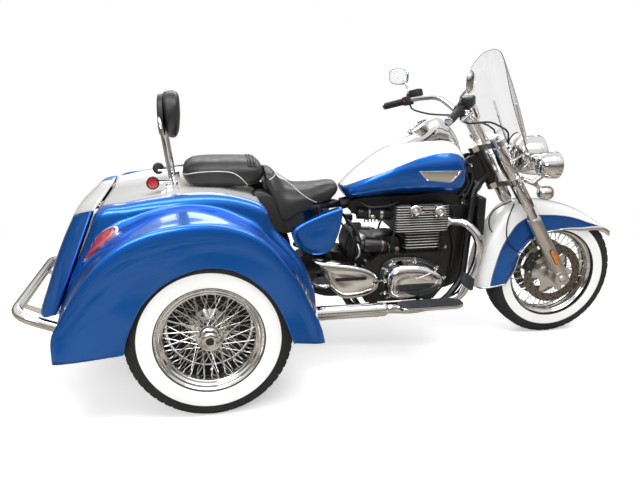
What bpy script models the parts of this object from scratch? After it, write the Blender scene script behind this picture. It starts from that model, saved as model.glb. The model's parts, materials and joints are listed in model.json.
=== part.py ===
"""A three-wheeled motorcycle: a cruiser's front end and engine with a two-wheeled rear axle and trunk.

Metres, +Z up, the nose towards +X and the right side towards -Y. The origin is on the ground, under the
middle of the whole length. Sizes are measured from the rear axle, and one empty moves all pieces together.
"""

from math import cos, pi, radians, sin, tan

import bmesh
import bpy
from mathutils import Matrix, Vector

# Clearances and walls
fit = 0.0003
weld = 0.000002
swing_gap = 0.006
overrun = 0.03

# Wheels
wheelbase = 1.70
rear_track = 0.966
tyre_radius = 0.320
rear_tyre_width = 0.205
front_tyre_width = 0.130
tread_flat = 0.060
rear_rim_radius = 0.2085
rear_rim_width = 0.190
front_rim_radius = 0.221
front_rim_width = 0.096
rim_lip = 0.006
rim_depth = 0.020
hub_flange = 0.008
rear_hub_radius = 0.052
rear_hub_width = 0.150
rear_hub_cap = 0.030
front_hub_radius = 0.042
front_hub_width = 0.110
front_axle_radius = 0.010
spoke_radius = 0.0026
rear_spokes = 24
wheel_steps = 36
front_spokes = 20
disc_radius = 0.150
disc_thickness = 0.005

# Steering head and fork
rake = radians(31)
head_x = 1.268
head_height = 0.950
lower_yoke_height = 0.775
yoke_thickness = 0.028
stem_radius = 0.016
head_tube_radius = 0.032
fork_spread = 0.115
fork_offset = 0.060
fork_tube_radius = 0.0235
fork_cover_radius = 0.031
fork_slider_radius = 0.033
fork_top_rise = 0.030
slider_top_height = 0.590
axle_lug_radius = 0.036
lug_proud = 0.003
spacer_radius = 0.015
fork_steps = 12

# Handlebar, controls and mirrors
riser_radius = 0.016
bar_radius = 0.0127
bar_peak_x = 1.150
bar_peak_height = 1.172
bar_peak_half_width = 0.200
grip_inner_x = 1.067
grip_inner_height = 1.157
grip_inner_half_width = 0.300
grip_end_x = 0.952
grip_end_height = 1.111
grip_end_half_width = 0.440
grip_radius = 0.0175
mirror_x = 1.028
mirror_height = 1.262
mirror_half_width = 0.458
mirror_length = 0.120
mirror_tall = 0.080
mirror_thick = 0.022
mirror_stem_radius = 0.005

# Rear fenders and trunk
fender_arch_radius = 0.297
fender_ridge_radius = 0.456
fender_crease_radius = 0.470
fender_edge_radius = 0.525
fender_thickness = 0.005
fender_step_height = 0.018
fender_bead_radius = 0.008
fender_side_half_width = 0.612
fender_crease_half_width = 0.410
trunk_half_width = 0.360
trunk_thickness = 0.005
trunk_dish_depth = 0.018
trunk_front_x = 0.225
trunk_peak_height = 0.836
trunk_toe_x = 0.330
trunk_floor_height = 0.430
split_top_x = -0.406
split_top_height = 0.793
split_bottom_x = -0.574
split_bottom_height = 0.386
lid_depth = 0.068
lid_bulge_depth = 0.020
lid_half_width = 0.384
hinge_radius = 0.0055
hinge_pin_radius = 0.0025
hinge_length = 0.050
hinge_half_width = 0.200
hinge_gap = 0.004
hinge_leaf_length = 0.030
leaf_inset = 0.004

# Rear bumper
bumper_radius = 0.0215
bumper_half_width = 0.370
bumper_x = -0.740
bumper_height = 0.392
bumper_corner = 0.090
bumper_reach = 0.150
bumper_plate = 0.008

# Frame
backbone_radius = 0.028
rail_radius = 0.016
rail_height = 0.222
rail_half_width = 0.110
downtube_top_x = 1.245
downtube_top_height = 0.765
downtube_foot_x = 1.200
pivot_x = 0.560
pivot_height = 0.400
axle_housing_radius = 0.095
axle_tube_radius = 0.038

# Engine
engine_front_x = 1.100
engine_rear_x = 0.690
engine_bottom_height = 0.262
engine_top_height = 0.490
engine_half_width = 0.150
cover_depth = 0.085
barrel_front_x = 1.060
barrel_rear_x = 0.905
barrel_half_width = 0.125
head_front_x = 1.100
head_rear_x = 0.850
head_half_width = 0.140
head_base_height = 0.580
head_gap = 0.023
fin_thickness = 0.005
fin_reach = 0.012
barrel_fins = 5
head_fins = 5
cam_cap_radius = 0.024

# Exhaust
header_radius = 0.021
header_half_width = 0.150
port_share = 0.2652
header_front_x = 1.258
header_front_height = 0.440
header_low_height = 0.236
silencer_radius = 0.031
silencer_half_width = 0.268
silencer_front_x = 0.785
silencer_end_x = 0.455
silencer_height = 0.272

# Covers on the right and left
clutch_cover_front_x = 1.082
clutch_cover_rear_x = 0.790
clutch_cover_low_height = 0.284
clutch_cover_top_height = 0.470
lower_cover_front_x = 0.772
lower_cover_rear_x = 0.455
lower_cover_low_height = 0.296
lower_cover_top_height = 0.492
lower_cover_half_width = 0.205
panel_half_width = 0.165
panel_rear_x = 0.354
panel_front_x = 0.606
panel_low_height = 0.500
panel_gap = 0.017

# Tank and console
tank_rear_x = 0.620
tank_front_x = 1.192
tank_half_width = 0.172
tank_low_height = 0.735
tank_crest_height = 0.990
console_rear_x = 0.822
console_front_x = 1.190
console_half_width = 0.062
console_rise = 0.085
dial_radius = 0.052
dial_x = 0.990
dial_height = 1.040
filler_radius = 0.034
filler_x = 1.074
filler_y = 0.095

# Seats and backrest
rider_seat_front_x = 0.602
rider_seat_rear_x = 0.262
rider_seat_half_width = 0.175
rider_seat_low_height = 0.620
pillion_rear_x = -0.090
pillion_half_width = 0.150
pillion_low_height = 0.808
pillion_top_height = 0.932
sissy_half_width = 0.130
sissy_radius = 0.008
sissy_foot_x = -0.128
sissy_top_x = -0.165
sissy_top_height = 1.140
sissy_plate_height = 0.850
backrest_half_width = 0.125
backrest_low_height = 1.012
backrest_top_height = 1.216
backrest_depth = 0.075
marker_radius = 0.026
marker_x = -0.200
marker_height = 0.855
marker_half_width = 0.172

# Footboards
board_length = 0.300
board_width = 0.100
board_thickness = 0.022
board_half_width = 0.335
board_front_x = 1.110
board_height = 0.319

# Tail lights
tail_light_angle = 137
tail_light_radius = 0.540
tail_light_half_width = 0.462
tail_light_length = 0.170
tail_light_tall = 0.056
tail_light_depth = 0.040

# Front fender, lamps and windshield
front_fender_half_width = 0.100
front_fender_thickness = 0.003
front_fender_stay = 0.012
headlight_radius = 0.095
headlight_x = 1.540
headlight_height = 0.905
headlight_depth = 0.150
spot_radius = 0.062
spot_x = 1.545
spot_height = 0.885
spot_half_width = 0.185
spot_depth = 0.110
turn_radius = 0.032
turn_height = 0.765
turn_half_width = 0.215
turn_depth = 0.070
lamp_bar_radius = 0.011
screen_thickness = 0.004
screen_top_x = 1.325
screen_top_height = 1.395
screen_low_x = 1.528
screen_low_height = 0.870
screen_half_width = 0.235
screen_wrap = 0.110

# Oil cooler
cooler_front_x = 1.303
cooler_depth = 0.040
cooler_half_width = 0.095
cooler_low_height = 0.540
cooler_drop = 0.040

# Places along the frame
bearing_gap = 0.0008
bend_radius = 0.040
backbone_head_height = 0.850
backbone_rear_x = 0.620
backbone_drop = 0.032
tunnel_depth = 0.120
downtube_half_width = 0.070
downtube_foot_height = 0.340
downtube_sweep = 0.090
rail_rear_x = 0.660
seat_post_x = 0.500
seat_rail_rear_x = 0.262
seat_base_height = 0.732
subframe_front_half_width = 0.125
subframe_kink_x = 0.430
subframe_splay = 0.120
subframe_half_width = 0.200
subframe_rear_x = -0.500
subframe_drop = 0.085
bumper_mount_height = 0.335
bumper_front_height = 0.330
saddle_length = 0.060
axle_housing_half_width = 0.060

# Small engine sizes
cam_cap_depth = 0.022
lug_length = 0.036
cam_rear_x = 0.935
cam_rear_share = 0.8333
cam_front_x = 1.060
cam_front_share = 0.7273
intake_half_width = 0.055
intake_share = 0.5682
intake_rear_x = 0.690
intake_radius = 0.028
port_half_width = 0.075
header_bend = 0.060

# Small sizes of tank, seats and backrest
tank_power = 2.4
filler_height = 0.952
filler_rise = 0.012
dial_depth = 0.014
rider_seat_top_height = 0.905
seat_power = 2.8
sissy_plate_length = 0.050
marker_depth = 0.024

# Small sizes of boards and pedals
strap_width = 0.035
strap_thickness = 0.014
pedal_x = 1.135
pedal_height = 0.400
pedal_radius = 0.008
pedal_length = 0.070

# Small sizes at the front
front_fender_radius = 0.400
stay_height = 0.505
headlight_post_offset = 0.082
lamp_bar_offset = 0.104
turn_setback = 0.020
screen_bow = 0.017
screen_notch = 0.012
screen_strip_radius = 0.006
screen_arm_low_height = 0.850
screen_arm_high_height = 0.915
bar_clamp_height = 1.070
riser_offset = 0.040
riser_half_width = 0.050
housing_radius = 0.022
housing_length = 0.045
lever_reach = 0.050
lever_radius = 0.006
mirror_rise = 0.030
cable_radius = 0.0045
cable_drop = 0.045
cable_lead = 0.060
cable_offset = 0.085
cable_half_width = 0.060

# Heights that follow from the pieces next to them
head_top_height = tank_low_height - head_gap
head_tall = head_top_height - head_base_height
cam_rear_height = head_base_height + cam_rear_share * head_tall
cam_front_height = head_base_height + cam_front_share * head_tall
intake_height = head_base_height + intake_share * head_tall
port_height = head_base_height + port_share * head_tall
panel_top_height = seat_base_height - panel_gap
cooler_top_height = downtube_top_height - cooler_drop
backbone_rear_height = seat_base_height - backbone_drop

# Outlines and curves, in shares of the named sizes
wall_bulge_share = 0.42
shoulder_drop_share = 0.24
shoulder_width_share = 0.88
spoke_lean_share = 0.083
spoke_seat_share = 0.14
outer_foot_share = 0.4
inner_foot_share = 0.95
hub_waist_share = 0.6
cover_low_share = 0.30
yoke_wing_share = 1.7
yoke_stem_share = 2.2
crown_shares = ((0, 0), (0.16, 0.46), (0.34, 0.82), (0.53, 1), (0.72, 0.98), (0.89, 0.5), (1, 0))
dish_shares = ((-1, 0), (-0.93, 0.5), (-0.7, 1), (0, 1.15), (0.7, 1), (0.93, 0.5), (1, 0))
lid_rear_shares = ((0.88, 0), (1, 0.26), (1.06, 0.62), (0.94, 0.90), (0.80, 0.975))
lid_shares = (
    (-1, 0, 0.82), (-0.96, 0.3, 0.95), (-0.7, 1, 1), (0, 1.15, 1), (0.7, 1, 1), (0.96, 0.3, 0.95),
    (1, 0, 0.82),
)
fender_shares = (
    (184, 1.07, 1.23, 1.20, 1.10),
    (174, 1.03, 1.22, 1.19, 1.094),
    (165, 1.0, 1.16, 1.17, 1.063),
    (155, 0.985, 1.12, 1.15, 1.060),
    (146, 0.985, 1.10, 1.14, 1.068),
    (138, 0.98, 1.09, 1.12, 1.105),
    (129, 0.98, 1.08, 1.09, 1.17),
    (120, 0.98, 1.06, 1.06, 1.09),
    (110, 0.985, 1.035, 1.05, 1.035),
    (97, 1.0, 1.01, 1.03, 1.002),
    (84, 1.01, 1.0, 0.99, 0.995),
    (72, 1.01, 0.985, 0.94, 0.996),
    (63, 1.0, 0.965, 0.915, 0.985),
    (55, 0.99, 0.935, 0.88, 0.885),
    (40, 0.985, 0.89, 0.87, 0.853),
    (27, 0.985, 0.868, 0.875, 0.848),
    (14, 1.0, 0.885, 0.895, 0.848),
    (4, 1.03, 0.925, 0.92, 0.84),
    (-4, 1.08, 0.957, 0.93, 0.835),
)
cross_share = 0.8
seat_rail_share = 0.96
barrel_fin_share = 0.7
head_fin_share = 0.4
dome_shares = ((0, 1), (0.55, 1), (0.86, 0.94), (1, 0.80))
case_shares = ((0, 0.25), (0.06, 0), (0.86, 0), (1, 0.3), (1, 0.8), (0.93, 1), (0.2, 1), (0, 0.7))
clutch_shares = (
    (0, 0.62), (0, 0.2), (0.04, 0.06), (0.2, 0), (0.5, 0.03), (0.83, 0.12), (1, 0.38), (0.97, 0.62),
    (0.68, 0.93), (0.22, 1), (0.04, 0.85),
)
lower_cover_shares = (
    (0, 1), (0.12, 0.86), (0.18, 0.5), (0.38, 0.08), (0.52, 0), (0.82, 0.06), (1, 0.26), (0.97, 0.55),
    (0.75, 0.8), (0.14, 0.95),
)
panel_shares = ((0, 0.55), (0.28, 0.03), (0.74, 0), (0.92, 0.45), (1, 1), (0.9, 1), (0.4, 0.8))
mouth_share = 0.75
header_turn_share = 0.6
header_foot_share = 0.2
hoop_bend_share = 0.6
hoop_foot_share = 0.9
strap_knee_share = 0.3
strap_drop_share = 1.4
lamp_arm_share = 0.25
lamp_arm_drop_share = 0.4
fender_roll_share = 0.6
fender_side_share = 0.62
head_overlap_share = 0.3
tank_shares = (
    (0, 0.30, 0.12, 0.22), (0.05, 0.52, 0, 0.33), (0.15, 0.68, 0, 0.52), (0.27, 0.82, 0.02, 0.71),
    (0.38, 0.91, 0.04, 0.85), (0.5, 0.97, 0.05, 0.94), (0.66, 1, 0.05, 1), (0.8, 1, 0.03, 1.02),
    (0.9, 0.93, 0.01, 0.97), (0.96, 0.80, 0.06, 0.84), (1, 0.5, 0.25, 0.62),
)
console_shares = (
    (0, 0.15, -0.55), (0.15, 0.45, -0.1), (0.35, 0.8, 0.42), (0.58, 1, 1.1), (0.68, 1, 1.15),
    (0.8, 0.95, 0.85), (0.92, 0.75, 0.25), (1, 0.4, -0.5),
)
dial_tilt_share = 0.7
console_power = 2.2
filler_tilt_share = 0.1
rider_shares = (
    (0, 0.72, 0.62, 0.96), (0.10, 0.92, 0.30, 0.90), (0.22, 1, 0, 0.70), (0.38, 0.98, 0.12, 0.63),
    (0.55, 0.86, 0.2, 0.62), (0.72, 0.66, 0.25, 0.64), (0.87, 0.5, 0.38, 0.68), (0.96, 0.4, 0.48, 0.68),
    (1, 0.25, 0.55, 0.62),
)
pillion_shares = (
    (0, 0.45, 0.25, 0.6), (0.04, 0.7, 0.05, 0.82), (0.15, 0.9, 0, 0.96), (0.4, 1, 0, 1), (0.7, 1, 0, 0.98),
    (0.9, 0.96, 0, 0.98), (0.97, 0.88, 0.05, 0.9), (1, 0.7, 0.15, 0.8),
)
backrest_shares = ((0, 0.86), (0.2, 1), (0.75, 1), (1, 0.78))
backrest_power = 2.6
front_fender_shares = (
    (188, 0.84, 1.00, 0.82), (177, 0.88, 1.02, 0.73), (166, 0.90, 1.02, 0.70), (152, 0.90, 1.035, 0.72),
    (140, 0.88, 1.06, 0.72), (129, 0.83, 1.09, 0.72), (115, 0.79, 1.03, 0.72), (101, 0.79, 0.93, 0.71),
    (84, 0.79, 0.865, 0.72), (62, 0.77, 0.83, 0.79), (44, 0.72, 0.85, 0.975), (31, 0.45, 0.895, 1.085),
)
front_fender_row_shares = (
    (-1, 0), (-1, 0.5), (-0.95, 0.82), (-0.62, 0.965), (0, 1), (0.62, 0.965), (0.95, 0.82), (1, 0.5), (1, 0),
)
front_fender_stay_share = 0.72
lamp_shares = ((0, 0), (0.55, 0.04), (0.85, 0.3), (0.97, 0.62), (1, 0.7), (1, 0.85), (0.9, 0.88), (0, 1))
screen_shares = (
    (0, 0.55), (0.12, 0.72), (0.3, 0.93), (0.55, 1), (0.75, 0.95), (0.88, 0.8), (0.96, 0.55), (1, 0.3),
)
screen_normal_share = 0.02
screen_strip_share = -0.5
housing_start_share = 0.6
lever_hinge_share = 0.6
lever_length_share = 0.9
mirror_shares = ((0, 0.97), (0.2, 1), (0.7, 0.9), (1, 0.55))
mirror_power = 3.2
cable_shares = ((0, 0, 0), (0.196, 0.269, 0.098), (0.594, 0.615, 0.098), (0.992, 0.962, 0.353), (1, 1, 1))


parts = bpy.data.collections.new("motor_trike")
cutters = bpy.data.collections.new("cutters")


def clear_scene():
    for item in list(bpy.data.objects):
        bpy.data.objects.remove(item, do_unlink=True)
    for collection in (parts, cutters):
        bpy.context.scene.collection.children.link(collection)


def material(name, color, roughness, metallic=0.0):
    made = bpy.data.materials.new(name)
    made.use_nodes = True
    made.diffuse_color = (*color, 1.0)
    shader = made.node_tree.nodes["Principled BSDF"]
    shader.inputs["Base Color"].default_value = (*color, 1.0)
    shader.inputs["Roughness"].default_value = roughness
    shader.inputs["Metallic"].default_value = metallic
    return made


def object_of(bm, name="piece"):
    """A scratch object of a bmesh, with its faces turned out."""
    bmesh.ops.recalc_face_normals(bm, faces=bm.faces)
    mesh = bpy.data.meshes.new(name)
    bm.to_mesh(mesh)
    bm.free()
    made = bpy.data.objects.new(name, mesh)
    cutters.objects.link(made)
    return made


def baked(source):
    """The evaluated mesh of an object as a plain object, welded and turned out; the source is removed."""
    graph = bpy.context.evaluated_depsgraph_get()
    mesh = bpy.data.meshes.new_from_object(source.evaluated_get(graph))
    bm = bmesh.new()
    bm.from_mesh(mesh)
    bm.transform(source.matrix_world)
    bmesh.ops.remove_doubles(bm, verts=bm.verts, dist=weld)
    bpy.data.objects.remove(source, do_unlink=True)
    bpy.data.meshes.remove(mesh)
    return object_of(bm)


def block(low, high, bevel=0.0):
    """A box between two corners, its edges rounded by bevel."""
    low, high = Vector(low), Vector(high)
    bm = bmesh.new()
    scale = Matrix.Diagonal((*(high - low), 1.0))
    bmesh.ops.create_cube(bm, size=1.0, matrix=Matrix.Translation((low + high) / 2) @ scale)
    if bevel:
        bmesh.ops.bevel(bm, geom=bm.edges, offset=bevel, segments=1, affect="EDGES")
    return object_of(bm)


def rod(start, end, radius, sides=12):
    """A round bar between two points."""
    start, end = Vector(start), Vector(end)
    turn = (end - start).to_track_quat("Z", "Y").to_matrix().to_4x4()
    bm = bmesh.new()
    bmesh.ops.create_cone(
        bm,
        cap_ends=True,
        segments=sides,
        radius1=radius,
        radius2=radius,
        depth=(end - start).length,
        matrix=Matrix.Translation((start + end) / 2) @ turn,
    )
    return object_of(bm)


def turned(profile, centre, axis, steps):
    """A profile of (radius, along) points turned about an axis through centre."""
    mesh = bpy.data.meshes.new("profile")
    closed = profile[0][0] > 0 and profile[-1][0] > 0
    count = len(profile)
    edges = [(i, (i + 1) % count) for i in range(count if closed else count - 1)]
    mesh.from_pydata([(radius, 0, along) for radius, along in profile], edges, [])
    made = bpy.data.objects.new("profile", mesh)
    cutters.objects.link(made)
    screw = made.modifiers.new("Turn", "SCREW")
    screw.steps = screw.render_steps = steps
    screw.use_merge_vertices = True
    screw.merge_threshold = weld
    turn = Vector(axis).to_track_quat("Z", "Y").to_matrix().to_4x4()
    made.matrix_world = Matrix.Translation(centre) @ turn
    bpy.context.view_layer.update()
    return baked(made)


def tube(points, radius, sides=8, cyclic=False):
    """A round bar along points."""
    curve = bpy.data.curves.new("route", "CURVE")
    curve.dimensions = "3D"
    curve.bevel_depth = radius
    curve.bevel_resolution = max(0, sides // 2 - 2)
    curve.use_fill_caps = True
    spline = curve.splines.new("POLY")
    spline.points.add(len(points) - 1)
    for slot, point in zip(spline.points, points):
        slot.co = (*point, 1.0)
    spline.use_cyclic_u = cyclic
    made = bpy.data.objects.new("route", curve)
    cutters.objects.link(made)
    bpy.context.view_layer.update()
    return baked(made)


def plate(outline, thickness, place):
    """A flat outline of (u, v) points made thickness thick about the plane that place sets."""
    curve = bpy.data.curves.new("outline", "CURVE")
    curve.dimensions = "2D"
    curve.fill_mode = "BOTH"
    curve.extrude = thickness / 2
    spline = curve.splines.new("POLY")
    spline.points.add(len(outline) - 1)
    for slot, (u, v) in zip(spline.points, outline):
        slot.co = (u, v, 0.0, 1.0)
    spline.use_cyclic_u = True
    made = bpy.data.objects.new("outline", curve)
    cutters.objects.link(made)
    made.matrix_world = place
    bpy.context.view_layer.update()
    return baked(made)


def upright(y):
    """The plane of a side view at y: u runs along +X and v along +Z."""
    return Matrix.Translation((0, y, 0)) @ Matrix.Rotation(pi / 2, 4, "X")


def loft(rings):
    """A closed skin through rings of points, with both ends filled."""
    bm = bmesh.new()
    rows = [[bm.verts.new(point) for point in ring] for ring in rings]
    for back, front in zip(rows, rows[1:]):
        for i, vert in enumerate(back):
            j = (i + 1) % len(back)
            bm.faces.new((vert, back[j], front[j], front[i]))
    bm.faces.new(rows[0])
    bm.faces.new(rows[-1])
    return object_of(bm)


def shell(rows, wall, offset):
    """An open grid of points made wall thick."""
    bm = bmesh.new()
    grid = [[bm.verts.new(point) for point in row] for row in rows]
    for back, front in zip(grid, grid[1:]):
        for i in range(len(back) - 1):
            bm.faces.new((back[i], back[i + 1], front[i + 1], front[i]))
    made = object_of(bm)
    thick = made.modifiers.new("Wall", "SOLIDIFY")
    thick.thickness = wall
    thick.offset = offset
    thick.use_even_offset = True
    return baked(made)


def combined(pieces, operation):
    base, *others = pieces
    if not others:
        return base
    group = bpy.data.collections.new("operands")
    cutters.children.link(group)
    for other in others:
        cutters.objects.unlink(other)
        group.objects.link(other)
    step = base.modifiers.new("Combine", "BOOLEAN")
    step.operation = operation
    step.operand_type = "COLLECTION"
    step.collection = group
    step.solver = "EXACT"
    made = baked(base)
    for other in others:
        bpy.data.objects.remove(other, do_unlink=True)
    bpy.data.collections.remove(group)
    return made


def joined(*pieces):
    return combined(pieces, "UNION")


def cut(piece, *tools):
    return combined((piece, *tools), "DIFFERENCE")


def node(name, piece, look, pivot=(0, 0, 0)):
    """Names a finished piece, gives it its material and puts its origin on its pivot."""
    pivot = Vector(pivot)
    piece.data.transform(Matrix.Translation(-pivot))
    piece.location = pivot
    piece.name = piece.data.name = name
    piece.data.materials.append(look)
    piece.data.shade_smooth()
    piece.data.set_sharp_from_angle(angle=radians(40))
    cutters.objects.unlink(piece)
    parts.objects.link(piece)
    return piece


def mirrored(piece, name):
    """The left-hand twin of a right-hand node."""
    twin = bpy.data.objects.new(name, piece.data.copy())
    twin.data.name = name
    twin.data.transform(Matrix.Diagonal((1, -1, 1, 1)))
    twin.data.flip_normals()
    twin.location = Vector((1, -1, 1)) * piece.location
    parts.objects.link(twin)
    return twin


def rounded(points, radius, steps=4):
    """A path whose inner corners are rounded."""
    points = [Vector(point) for point in points]
    path = [points[0]]
    for before, corner, after in zip(points, points[1:], points[2:]):
        reach = min(radius, (corner - before).length / 2, (after - corner).length / 2)
        start = corner + (before - corner).normalized() * reach
        end = corner + (after - corner).normalized() * reach
        for step in range(steps + 1):
            share = step / steps
            path.append(start.lerp(corner, share).lerp(corner.lerp(end, share), share))
    path.append(points[-1])
    return path


def between(low, high, share):
    return low + (high - low) * share


def spread(shares, low, high):
    """Points given as shares of the span from low to high, in as many dimensions as the shares have."""
    return [tuple(between(a, b, s) for a, b, s in zip(low, high, row)) for row in shares]


def oval(x, half_width, low, high, power=2.4, count=16, middle=0.0):
    """A ring across X at x: a superellipse between two heights."""
    ring = []
    for step in range(count):
        angle = 2 * pi * step / count
        across, up = cos(angle), sin(angle)
        across = abs(across) ** (2 / power) * (1 if across > 0 else -1)
        up = abs(up) ** (2 / power) * (1 if up > 0 else -1)
        ring.append((x, middle + half_width * across, (low + high) / 2 + (high - low) / 2 * up))
    return ring


def raked(height, offset=0.0, y=0.0):
    """The point of the steering axis at a height, moved square to the axis by offset and y."""
    on_axis = Vector((head_x + (head_height - height) * tan(rake), 0, height))
    return on_axis + Vector((cos(rake) * offset, y, sin(rake) * offset))


def polar(centre_x, radius, degrees, y):
    """A point around an axle, by its angle up from the +X direction."""
    angle = radians(degrees)
    return Vector((centre_x + radius * cos(angle), y, tyre_radius + radius * sin(angle)))


def tyre(centre, width, rim_radius, rim_width):
    inside = rim_width / 2 - rim_lip - fit
    wall = tyre_radius - rim_radius
    half = [
        (rim_radius - rim_depth + fit, inside),
        (rim_radius + 2 * fit, inside),
        (rim_radius + wall * wall_bulge_share, width / 2),
        (tyre_radius - wall * shoulder_drop_share, width / 2 * shoulder_width_share),
        (tyre_radius, tread_flat * width / rear_tyre_width / 2),
    ]
    profile = half + [(radius, -along) for radius, along in reversed(half)]
    return turned(profile, centre, (0, 1, 0), wheel_steps)


def rim(centre, radius, width):
    bed = radius - rim_depth
    lip = width / 2 - rim_lip
    half = [
        (radius, lip),
        (radius, width / 2),
        (bed - rim_lip, width / 2 - rim_lip),
    ]
    outer = [(bed, -lip), (bed, lip)]
    profile = outer + half + [(r, -y) for r, y in reversed(half)]
    return turned(profile, centre, (0, 1, 0), wheel_steps)


def spokes(centre, count, hub_radius, hub_width, rim_radius, rim_width):
    """Crossed spokes from both hub flanges to the rim's bed."""
    reach = rim_radius - rim_depth - rim_lip / 2
    made = []
    for i in range(count):
        side = 1 if i % 2 else -1
        outbound = i // 2 % 2
        lean = (1 if outbound else -1) * spoke_lean_share * 2 * pi
        angle = 2 * pi * i / count
        flange = hub_width / 2 - hub_flange * (outer_foot_share if outbound else inner_foot_share)
        foot = Vector((cos(angle - lean), 0, sin(angle - lean))) * (hub_radius - spoke_radius)
        head = Vector((cos(angle), 0, sin(angle))) * reach
        foot.y = side * flange
        head.y = side * rim_width * spoke_seat_share
        made.append(rod(Vector(centre) + foot, Vector(centre) + head, spoke_radius, sides=4))
    return made


def rear_wheel(look_tyre, look_rim):
    centre = (0, -rear_track / 2, tyre_radius)
    half = rear_hub_width / 2
    waist = rear_hub_radius * hub_waist_share
    cap = rear_hub_radius * hub_waist_share
    profile = [
        (0, -half),
        (rear_hub_radius, -half),
        (rear_hub_radius, hub_flange - half),
        (waist, 2 * hub_flange - half),
        (waist, half - 2 * hub_flange),
        (rear_hub_radius, half - hub_flange),
        (rear_hub_radius, half),
        (cap, half + hub_flange),
        (cap * hub_waist_share, half + rear_hub_cap),
        (0, half + rear_hub_cap),
    ]
    hub = turned(profile, centre, (0, -1, 0), 16)
    wires = spokes(centre, rear_spokes, rear_hub_radius, rear_hub_width, rear_rim_radius, rear_rim_width)
    wheel = joined(rim(centre, rear_rim_radius, rear_rim_width), hub, *wires)
    wheel = node("rear_wheel_right", wheel, look_rim, centre)
    rubber = tyre(centre, rear_tyre_width, rear_rim_radius, rear_rim_width)
    rubber = node("rear_tyre_right", rubber, look_tyre, centre)
    mirrored(wheel, "rear_wheel_left")
    mirrored(rubber, "rear_tyre_left")


def front_wheel(look_tyre, look_rim, look_disc):
    centre = (wheelbase, 0, tyre_radius)
    half = front_hub_width / 2
    waist = front_hub_radius * hub_waist_share
    bore = front_axle_radius + 2 * fit
    profile = [
        (bore, -half),
        (front_hub_radius, -half),
        (front_hub_radius, hub_flange - half),
        (waist, 2 * hub_flange - half),
        (waist, half - 2 * hub_flange),
        (front_hub_radius, half - hub_flange),
        (front_hub_radius, half),
        (bore, half),
    ]
    hub = turned(profile, centre, (0, 1, 0), 16)
    wires = spokes(centre, front_spokes, front_hub_radius, front_hub_width, front_rim_radius, front_rim_width)
    wheel = joined(rim(centre, front_rim_radius, front_rim_width), hub, *wires)
    node("front_wheel", wheel, look_rim, centre)
    node("front_tyre", tyre(centre, front_tyre_width, front_rim_radius, front_rim_width), look_tyre, centre)
    inner = spacer_radius + 2 * fit + disc_thickness
    face = half + fit
    far = face + disc_thickness
    profile = [(inner, face), (disc_radius, face), (disc_radius, far), (inner, far)]
    disc = turned(profile, centre, (0, -1, 0), 32)
    disc = node("brake_disc_right", disc, look_disc, centre)
    mirrored(disc, "brake_disc_left")


def front_axle(look):
    centre = (wheelbase, 0, tyre_radius)
    half = front_hub_width / 2 + fit
    end = fork_spread - fork_slider_radius - lug_proud - fit
    profile = [
        (0, -end),
        (spacer_radius, -end),
        (spacer_radius, -half),
        (front_axle_radius, -half),
        (front_axle_radius, half),
        (spacer_radius, half),
        (spacer_radius, end),
        (0, end),
    ]
    node("front_axle", turned(profile, centre, (0, 1, 0), 16), look, raked(head_height))


def leg_profile(extra=0.0):
    """The fork leg's (radius, height) steps from the foot to the cap."""
    foot = tyre_radius - fork_offset * sin(rake) - fork_slider_radius
    top = head_height + fork_top_rise
    cover_low = between(slider_top_height, lower_yoke_height, cover_low_share)
    clear = yoke_thickness / 2 * cos(rake) + fit
    return [
        (0, foot),
        (fork_slider_radius, foot),
        (fork_slider_radius, slider_top_height),
        (fork_tube_radius, slider_top_height),
        (fork_tube_radius, cover_low),
        (fork_cover_radius, cover_low),
        (fork_cover_radius, lower_yoke_height - clear),
        (fork_tube_radius + extra, lower_yoke_height - clear),
        (fork_tube_radius + extra, lower_yoke_height + clear),
        (fork_cover_radius, lower_yoke_height + clear),
        (fork_cover_radius, head_height - clear),
        (fork_tube_radius + extra, head_height - clear),
        (fork_tube_radius + extra, top),
        (0, top),
    ]


def fork(look_leg, look_yoke):
    foot_height = tyre_radius - fork_offset * sin(rake)
    foot = raked(foot_height, fork_offset, -fork_spread)
    axis = Vector((-sin(rake), 0, cos(rake)))
    profile = [(radius, (height - foot_height) / cos(rake)) for radius, height in leg_profile()]
    leg = turned(profile, foot, axis, fork_steps)
    lug = rod(
        (wheelbase, lug_proud + fork_slider_radius - fork_spread, tyre_radius),
        (wheelbase, -lug_proud - fork_slider_radius - fork_spread, tyre_radius),
        axle_lug_radius,
    )
    leg = node("fork_leg_right", joined(leg, lug), look_leg, raked(head_height))
    mirrored(leg, "fork_leg_left")

    stem = rod(raked(lower_yoke_height), raked(head_height), stem_radius, 16)
    made = [stem]
    for height in (lower_yoke_height, head_height):
        middle = raked(height)
        wing = fork_tube_radius * yoke_wing_share
        boss = stem_radius * yoke_stem_share
        outline = [(fork_offset + wing * cos(a), fork_spread + wing * sin(a)) for a in arc(0, 1)]
        outline += [(boss * cos(a), boss * sin(a)) for a in arc(1, 3)]
        outline += [(fork_offset + wing * cos(a), -fork_spread + wing * sin(a)) for a in arc(3, 4)]
        place = Matrix.Translation(middle) @ Matrix.Rotation(-rake, 4, "Y")
        made.append(plate(outline, yoke_thickness, place))
    bores = [
        rod(
            raked(lower_yoke_height - yoke_thickness, fork_offset, y),
            raked(head_height + 2 * yoke_thickness, fork_offset, y),
            fork_tube_radius + 2 * fit,
            fork_steps,
        )
        for y in (-fork_spread, fork_spread)
    ]
    node("fork_yokes", cut(joined(*made), *bores), look_yoke, raked(head_height))


def arc(start, end, steps=4):
    """Angles from start to end quarter turns."""
    return [pi / 2 * between(start, end, step / steps) for step in range(steps + 1)]


def split_x(height):
    """Where the cut between trunk and lid lies, by height."""
    share = (height - split_bottom_height) / (split_top_height - split_bottom_height)
    return between(split_bottom_x, split_top_x, share)


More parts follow.
